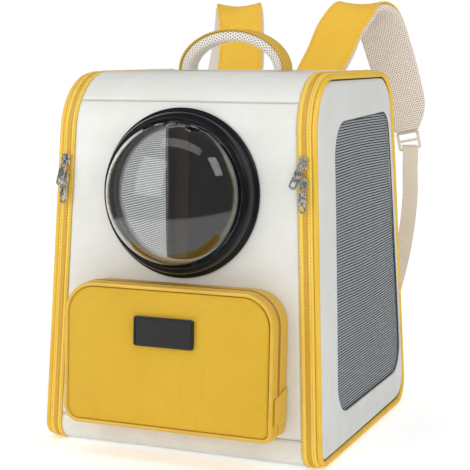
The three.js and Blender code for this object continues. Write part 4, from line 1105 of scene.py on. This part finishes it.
def softened(node, name, material, width, body="pack"):
    """A copy of a frame node with its flat faces merged and its edges rounded, in place of the node."""
    source = bpy.data.objects[node]
    mesh = source.data.copy()
    mesh.transform(source.matrix_world)
    shape = bmesh.new()
    shape.from_mesh(mesh)
    bmesh.ops.remove_doubles(shape, verts=shape.verts, dist=1e-6)
    bmesh.ops.dissolve_limit(shape, angle_limit=math.radians(1), verts=shape.verts, edges=shape.edges)
    shape.to_mesh(mesh)
    shape.free()
    mesh.polygons.foreach_set("use_smooth", np.ones(len(mesh.polygons), bool))
    mesh.materials.clear()
    mesh.materials.append(material)
    piece = bpy.data.objects.new(name, mesh)
    scene.collection.objects.link(piece)
    bevel = piece.modifiers.new("edges", "BEVEL")
    bevel.width = width
    bevel.segments = 2
    bevel.limit_method = "ANGLE"
    bevel.angle_limit = math.radians(28)
    bevel.harden_normals = True
    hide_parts(node)
    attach(piece, body)
    return piece


for tag in ("left_upper", "left_lower", "right_upper", "right_lower"):
    softened(f"zip_slider_{tag}", f"slider_{tag}", chrome, 0.45 * MM)
    softened(f"zip_pull_{tag}", f"pull_tag_{tag}", chrome, 0.4 * MM, f"pull_{tag}")

# Handle: an arch over the top, yellow cloth outside and a roll of foam in beige air mesh inside, sewn
# together along its edges and into the top at both ends.
HANDLE_SPAN, HANDLE_RISE, HANDLE_WIDTH = 67 * MM, 48 * MM, 28 * MM
HANDLE_FOOT = BODY_HEIGHT + 0.3 * MM


def arch(u, across, depth):
    """Points along the handle's arch, half an ellipse: across its width, and out along its normal."""
    angle = np.pi * (1 - u)
    normal = np.stack([np.cos(angle) / HANDLE_SPAN, np.sin(angle) / HANDLE_RISE], -1)
    normal /= np.linalg.norm(normal, axis=-1, keepdims=True)
    return np.stack([HANDLE_SPAN * np.cos(angle) + normal[..., 0] * depth, across,
                     HANDLE_FOOT + np.maximum(HANDLE_RISE * np.sin(angle) + normal[..., 1] * depth, 0)], -1)


def tube(points, uv, flip):
    """A tube's patches: its rings of points, and a fan of faces that closes each end."""
    ends = [{"points": np.stack([points[k], np.broadcast_to(points[k].mean(0), points[k].shape)]),
             "uv": np.zeros((2, points.shape[1] + 1, 2)), "closed": (False, True), "flip": (k == 0) != flip}
            for k in (0, -1)]
    return [{"points": points, "uv": uv, "closed": (False, True), "flip": flip}] + ends


def arched(name, section, materials, lengthwise=150):
    """A closed section of (across, depth) carried along the handle."""
    u, k = np.meshgrid(np.linspace(0, 1, lengthwise), np.arange(len(section)), indexing="ij")
    points = arch(u, section[:, 0][k], section[:, 1][k])
    run = np.concatenate([[0], np.cumsum(np.linalg.norm(np.diff(section, axis=0), axis=1))])
    run = np.append(run, run[-1] + np.linalg.norm(section[0] - section[-1]))
    uv = np.stack(np.meshgrid(run, np.linspace(0, 1, lengthwise) * 205 * MM), -1)
    piece = mesh_piece(name, tube(points, uv, True), materials)
    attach(piece, "pack")
    return piece


def pill(reach, low, high, corner, steps=10):
    """A closed section with rounded corners between two depths, so far to each side."""
    corners = np.array([[-reach, low], [-reach, high], [reach, high], [reach, low]])
    return rounded_line(corners, (corner,) * 4, steps)[0]


handle_top = arched("handle_cloth", pill(HANDLE_WIDTH / 2, -2 * MM, 0, 0.95 * MM, 5), [yellow_cloth])
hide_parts("handle_cover")
# The third colour is painted shade inside the mesh's holes.
handle_mesh = air_mesh_cloth("handle_mesh", "FFFDF8", "FAF2E6", "8A6A4E", 3.7 * MM)
grip = arched("handle_grip", pill(HANDLE_WIDTH / 2 - 0.2 * MM, -14.3 * MM, -2.1 * MM, 4.6 * MM, 12),
              [handle_mesh])
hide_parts("handle_pad")

# Straps: S-shaped padded shoulder straps, sewn in at the back seam. Yellow cloth outside, foam in beige
# air mesh inside, and a narrower end that takes a ladder buckle for the webbing.
STRAP_X = 54 * MM
STRAP_ROUTE = np.array([[61, 166, 442], [70, 188, 476], [84, 216, 499], [98, 242, 488], [112, 258, 444],
                        [126, 262, 392], [138, 260, 338]]) * MM
STRAP_WIDTH, STRAP_END_WIDTH, STRAP_TAPER, STRAP_TWIST = 60 * MM, 30 * MM, 0.13, 20
WEBBING_WIDTH, WEBBING_THICKNESS = 20 * MM, 1.8 * MM
TAB_X = BASE_WIDTH / 2 - 41 * MM + (TOP_WIDTH - BASE_WIDTH) / 2 * 60 / 420
seam_spot, seam_out = along(side_line, back_seam)


def smooth_route(knots, count):
    """A centripetal Catmull-Rom curve through its knots, as points evenly spaced along it."""
    knots = np.vstack([2 * knots[0] - knots[1], knots, 2 * knots[-1] - knots[-2]])
    gaps = np.sqrt(np.linalg.norm(np.diff(knots, axis=0), axis=1))
    pieces = []
    for k in range(1, len(knots) - 2):
        p0, p1, p2, p3 = knots[k - 1:k + 3]
        d0, d1, d2 = gaps[k - 1:k + 2]
        m1 = ((p1 - p0) / d0 - (p2 - p0) / (d0 + d1) + (p2 - p1) / d1) * d1
        m2 = ((p2 - p1) / d1 - (p3 - p1) / (d1 + d2) + (p3 - p2) / d2) * d1
        t = np.linspace(0, 1, 60, endpoint=False)[:, None]
        pieces.append(p1 + m1 * t + (3 * (p2 - p1) - 2 * m1 - m2) * t ** 2
                      + (2 * (p1 - p2) + m1 + m2) * t ** 3)
    route = np.vstack(pieces + [knots[-2:-1]])
    run = np.concatenate([[0], np.cumsum(np.linalg.norm(np.diff(route, axis=0), axis=1))])
    at = np.linspace(0, run[-1], count)
    return np.stack([np.interp(at, run, route[:, k]) for k in range(3)], -1), run[-1]


def carried(name, route, length, side, section, width_at, twist, materials, lift=None):
    """A closed section of (share of half the width, depth) carried along a route that turns about its own
    line by twist degrees in the end. The width lies level, square to the route."""
    tangent = np.gradient(route, axis=0)
    tangent /= np.linalg.norm(tangent, axis=1, keepdims=True)
    share = np.linspace(0, 1, len(route))
    turn = np.radians(twist(share))
    level = np.stack([np.cos(turn), np.sin(turn), np.zeros(len(route))], -1)
    level -= tangent * np.sum(level * tangent, axis=1, keepdims=True)
    level /= np.linalg.norm(level, axis=1, keepdims=True)
    outward = np.cross(level, tangent)
    half = width_at(share) / 2
    depth = section[:, 1] if lift is None else section[:, 1] + lift(share[:, None], section[None])
    points = (route[:, None] + level[:, None] * (half[:, None] * section[:, 0])[..., None]
              + outward[:, None] * np.broadcast_to(depth, (len(route), len(section)))[..., None])
    points[..., 0] *= side
    scaled = section * np.array([half[0], 1])
    run = np.concatenate([[0], np.cumsum(np.linalg.norm(np.diff(scaled, axis=0), axis=1))])
    run = np.append(run, run[-1] + np.linalg.norm(scaled[0] - scaled[-1]))
    uv = np.stack(np.meshgrid(run, share * length), -1)
    piece = mesh_piece(name, tube(points, uv, side < 0), materials)
    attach(piece, "pack")
    return piece


def strap_width(share):
    """The strap keeps its width, then draws in to its end width over its last stretch."""
    taper = np.clip((share - 1 + STRAP_TAPER) / STRAP_TAPER, 0, 1)
    return STRAP_WIDTH + (STRAP_END_WIDTH - STRAP_WIDTH) * taper ** 2


def section_of(low, high, corner, width, steps=8):
    """A pill section as shares of half the width."""
    outline = pill(width / 2, low, high, corner, steps)
    return outline / np.array([width / 2, 1])


def welt(share, section):
    """Foam swells the strap's mesh between its sewn edges, unevenly along its length."""
    middle = 1 - np.clip(np.abs(section[..., 0]), 0, 1) ** 4
    return np.where(section[..., 1] < -4 * MM, -0.5 * MM * middle * (1 + 0.5 * np.sin(share * 47)), 0)


strap_tape = woven_cloth("beige_webbing", "F3E9DA", "DED1BD", 0.0022, 0.75, 0.0003, depth=0.0004)
beige_plastic = moulded("beige_plastic", "EADFCF", "DDD1BE", 0.4, 0.05, 0.00003)
strap_cloth = woven_cloth("strap_cloth", "FFCE38", "F6BE2C", 0.0007, 0.72, 0.0008)


def seam_point(depth):
    """A point over the back seam where a strap is sewn in."""
    return [STRAP_X, seam_spot[0] + seam_out[0] * depth, seam_spot[1] + seam_out[1] * depth]


strap_route, strap_length = smooth_route(
    np.vstack([seam_point(0.3 * MM), seam_point(12 * MM), STRAP_ROUTE]), 180)
strap_end = strap_route[-1]
end_along = strap_route[-1] - strap_route[-2]
end_along /= np.linalg.norm(end_along)
buckle_centre = strap_end + end_along * 12.8 * MM


def on_back(x, z, depth):
    """A point over the sloping back."""
    return [x, side_depth(z) + depth * math.cos(lean), z + depth * math.sin(lean)]


for side, tag in ((-1, "left"), (1, "right")):
    cover = carried(f"strap_cloth_{tag}", strap_route, strap_length, side,
                    section_of(0.15 * MM, 3 * MM, 1.3 * MM, STRAP_WIDTH), strap_width,
                    lambda share: STRAP_TWIST * share, [strap_cloth])
    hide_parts(f"strap_cover_{tag}")
    foam = carried(f"strap_foam_{tag}", strap_route, strap_length, side,
                   section_of(-9 * MM, -0.15 * MM, 3.4 * MM, STRAP_WIDTH - 1 * MM), strap_width,
                   lambda share: STRAP_TWIST * share, [beige_mesh], welt)
    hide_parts(f"strap_pad_{tag}")
    softened(f"strap_buckle_{tag}", f"buckle_{tag}", beige_plastic, 0.6 * MM)

# Webbing: woven polypropylene, 20 mm wide. It is threaded through the lower slot of each ladder buckle,
# hangs behind the pack and is sewn flat on a yellow tab at the foot of the back.
SLOT_BELOW_MIDDLE = 7.25 * MM
WEBBING_ROUTE = np.array([[19, 90, 285.6], [19, 92, 252], [16, 86, 201.6], [11, 68, 151.2],
                          [5, 38, 105]]) * MM
TAB_SIZE = (36 * MM, 40 * MM)
TAB_HEIGHT, TAB_LIFT = 60 * MM, 0.3 * MM

end_level = np.array([math.cos(math.radians(STRAP_TWIST)), math.sin(math.radians(STRAP_TWIST)), 0])
end_level -= end_along * (end_level @ end_along)
end_outward = np.cross(end_level / np.linalg.norm(end_level), end_along)
slot_centre = buckle_centre + end_along * SLOT_BELOW_MIDDLE
threading = [slot_centre + end_outward * out + end_along * down
             for out, down in ((8 * MM, -1 * MM), (0, 0), (-4 * MM, 3 * MM))]
hanging = WEBBING_ROUTE + np.array([TAB_X, BASE_DEPTH / 2, 0])
landing = [on_back(TAB_X, 70 * MM, 9.3 * MM), on_back(TAB_X, 50 * MM, 4.2 * MM)]
webbing_route, webbing_length = smooth_route(np.vstack([threading, hanging, landing]), 220)
for side, tag in ((-1, "left"), (1, "right")):
    webbing = carried(f"webbing_{tag}", webbing_route, webbing_length, side,
                      section_of(-WEBBING_THICKNESS / 2, WEBBING_THICKNESS / 2, 0.7 * MM, WEBBING_WIDTH, 4),
                      lambda share: WEBBING_WIDTH + 0 * share, lambda share: STRAP_TWIST * (1 - share),
                      [strap_tape])
    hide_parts(f"strap_webbing_{tag}")
    # The tab: flat on the back's slope, with its rim rounded down to the cloth.
    b, a = grid(26, 24)
    x, z = (a - 0.5) * TAB_SIZE[0], (b - 0.5) * TAB_SIZE[1]
    rim_distance = np.minimum(TAB_SIZE[0] / 2 - np.abs(x), TAB_SIZE[1] / 2 - np.abs(z))
    lift = TAB_LIFT + 2.4 * MM * (1 - np.exp(-((rim_distance + 0.6 * MM) / (1.1 * MM)) ** 2))
    origin = np.array(on_back(side * TAB_X, TAB_HEIGHT, 0))
    points = (origin + np.multiply.outer(x, [1.0, 0, 0])
              + np.multiply.outer(z, [0, -math.sin(lean), math.cos(lean)])
              + np.multiply.outer(lift, [0, math.cos(lean), math.sin(lean)]))
    tab = mesh_piece(f"tab_{tag}", [{"points": points, "uv": np.stack([x, z], -1), "flip": True}],
                     [yellow_cloth])
    thickened(tab, 2 * MM)
    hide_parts(f"webbing_tab_{tag}")
    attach(tab, "pack")

# Stitching: lockstitch in thick thread, in the colour of the cloth that it holds. Each stitch is a short
# rounded bar that lies on the cloth and goes down into it at both ends.
STITCH_LENGTH, STITCH_GAP, THREAD = 2.6 * MM, 1.0 * MM, 0.42 * MM


def thread_material(name, light, dark):
    """Twisted polyester thread: fine slanting lines in two near tones, with a soft sheen."""
    material, tree, shader = shaded(name, Sheen_Weight=0.3)
    flat = put(tree, "UVMap", uv_map="cloth").outputs[0]
    slanted = put(tree, "Mapping", {"Vector": flat, "Rotation": (0, 0, 0.6)}).outputs[0]
    twist = put(tree, "TexWave", {"Vector": slanted, "Scale": 900.0, "Distortion": 1.0}).outputs[1]
    tree.links.new(colour_mix(tree, twist, linear(dark), linear(light)), shader.inputs["Base Color"])
    tree.links.new(ranged(tree, twist, 0.6, 0.45), shader.inputs["Roughness"])
    bumped(tree, shader, (twist, 0.00006))
    return material


def stitched(name, line, normal, material, length=STITCH_LENGTH, closed=False):
    """Stitches along a line of points that carries normals: bars with six sides, pointed at their ends."""
    steps = np.linalg.norm(np.diff(np.vstack([line, line[:1]]) if closed else line, axis=0), axis=1)
    run = np.concatenate([[0], np.cumsum(steps)])
    track = np.vstack([line, line[:1]]) if closed else line
    up = np.vstack([normal, normal[:1]]) if closed else normal
    count = max(2, int(run[-1] / (length + STITCH_GAP)))
    middle = (np.arange(count) + 0.5) * run[-1] / count
    along_bar = np.array([-0.5, -0.3, 0.3, 0.5])
    thick = np.array([0, 1, 1, 0]) * THREAD
    sink = np.array([0.9, 0, 0, 0.9]) * THREAD
    at = middle[:, None] + along_bar * length

    def pick(values, where):
        return np.stack([np.interp(where, run, values[:, k]) for k in range(3)], -1)

    spot, out = pick(track, at), pick(up, at)
    out /= np.linalg.norm(out, axis=-1, keepdims=True)
    tangent = pick(track, at + 0.3 * MM) - pick(track, at - 0.3 * MM)
    tangent /= np.maximum(np.linalg.norm(tangent, axis=-1, keepdims=True), 1e-9)
    beside = np.cross(tangent, out)
    angle = np.arange(6) * np.pi / 3
    ring = (beside[..., None, :] * (np.cos(angle) * 1.15)[:, None]
            + out[..., None, :] * (np.sin(angle) * 0.8)[:, None])
    points = (spot - out * sink[:, None])[..., None, :] + ring * thick[:, None, None]
    uv = np.stack(np.meshgrid(np.linspace(0, 3 * MM, 7), along_bar * length), -1)
    patches = [{"points": points[k], "uv": uv, "closed": (False, True), "flip": True} for k in range(count)]
    piece = mesh_piece(name, patches, [material])
    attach(piece, "pack")
    return piece


yellow_thread = thread_material("yellow_thread", "F6C64E", "DE9F22")
orange_thread = thread_material("orange_thread", "E09A24", "C37C14")


def strap_row(offset, share_from, share_to, level, count=260):
    """A line on the strap's outer face, so far from its middle as a share of half its width."""
    at = np.linspace(share_from, share_to, count) * (len(strap_route) - 1)
    index = np.arange(len(strap_route))
    route = np.stack([np.interp(at, index, strap_route[:, k]) for k in range(3)], -1)
    tangent = np.gradient(strap_route, axis=0)
    tangent = np.stack([np.interp(at, index, tangent[:, k]) for k in range(3)], -1)
    tangent /= np.linalg.norm(tangent, axis=1, keepdims=True)
    share = at / (len(strap_route) - 1)
    turn = np.radians(STRAP_TWIST * share)
    across = np.stack([np.cos(turn), np.sin(turn), 0 * turn], -1)
    across -= tangent * np.sum(across * tangent, axis=1, keepdims=True)
    across /= np.linalg.norm(across, axis=1, keepdims=True)
    outward = np.cross(across, tangent)
    reach = np.broadcast_to(offset, share.shape) * strap_width(share) / 2
    return route + across * reach[:, None] + outward * level, outward


for side, tag in ((-1, "left"), (1, "right")):
    mirror = np.array([side, 1, 1])
    for name, offset in (("outer", 0.87), ("inner", -0.87)):
        line, out = strap_row(offset, 0.02, 0.99, 3.1 * MM)
        stitched(f"strap_seam_{tag}_{name}", line * mirror, out * mirror, yellow_thread)
    for k, share in enumerate((0.845, 0.86, 0.925, 0.94)):
        line, out = strap_row(np.linspace(-0.86, 0.86, 60), share, share, 3.1 * MM, 60)
        stitched(f"strap_bar_{tag}_{k}", line * mirror, out * mirror, orange_thread)

for name, across in (("front", -0.40), ("rear", 0.40)):
    u = np.linspace(0.03, 0.97, 200)
    line = arch(u, across * HANDLE_WIDTH + 0 * u, 0.1 * MM + 0 * u)
    out = line - arch(u, across * HANDLE_WIDTH + 0 * u, -3 * MM + 0 * u)
    stitched(f"handle_seam_{name}", line, out, yellow_thread)

for side, tag in ((-1, "left"), (1, "right")):
    for name, inset, height in (("inner", 19.6 * MM, 0.32 * MM), ("outer", 8.4 * MM, 0.86 * MM)):
        turn = np.linspace(0, side_girth, 1400, endpoint=False)
        fall = band_drop(inset + 0 * turn)
        line = on_wrap(turn, height - fall, lambda half: side * (half - inset))
        out = on_wrap(turn, height + 1 * MM - fall, lambda half: side * (half - inset)) - line
        stitched(f"tape_seam_{tag}_{name}", line, out, yellow_thread, closed=True)
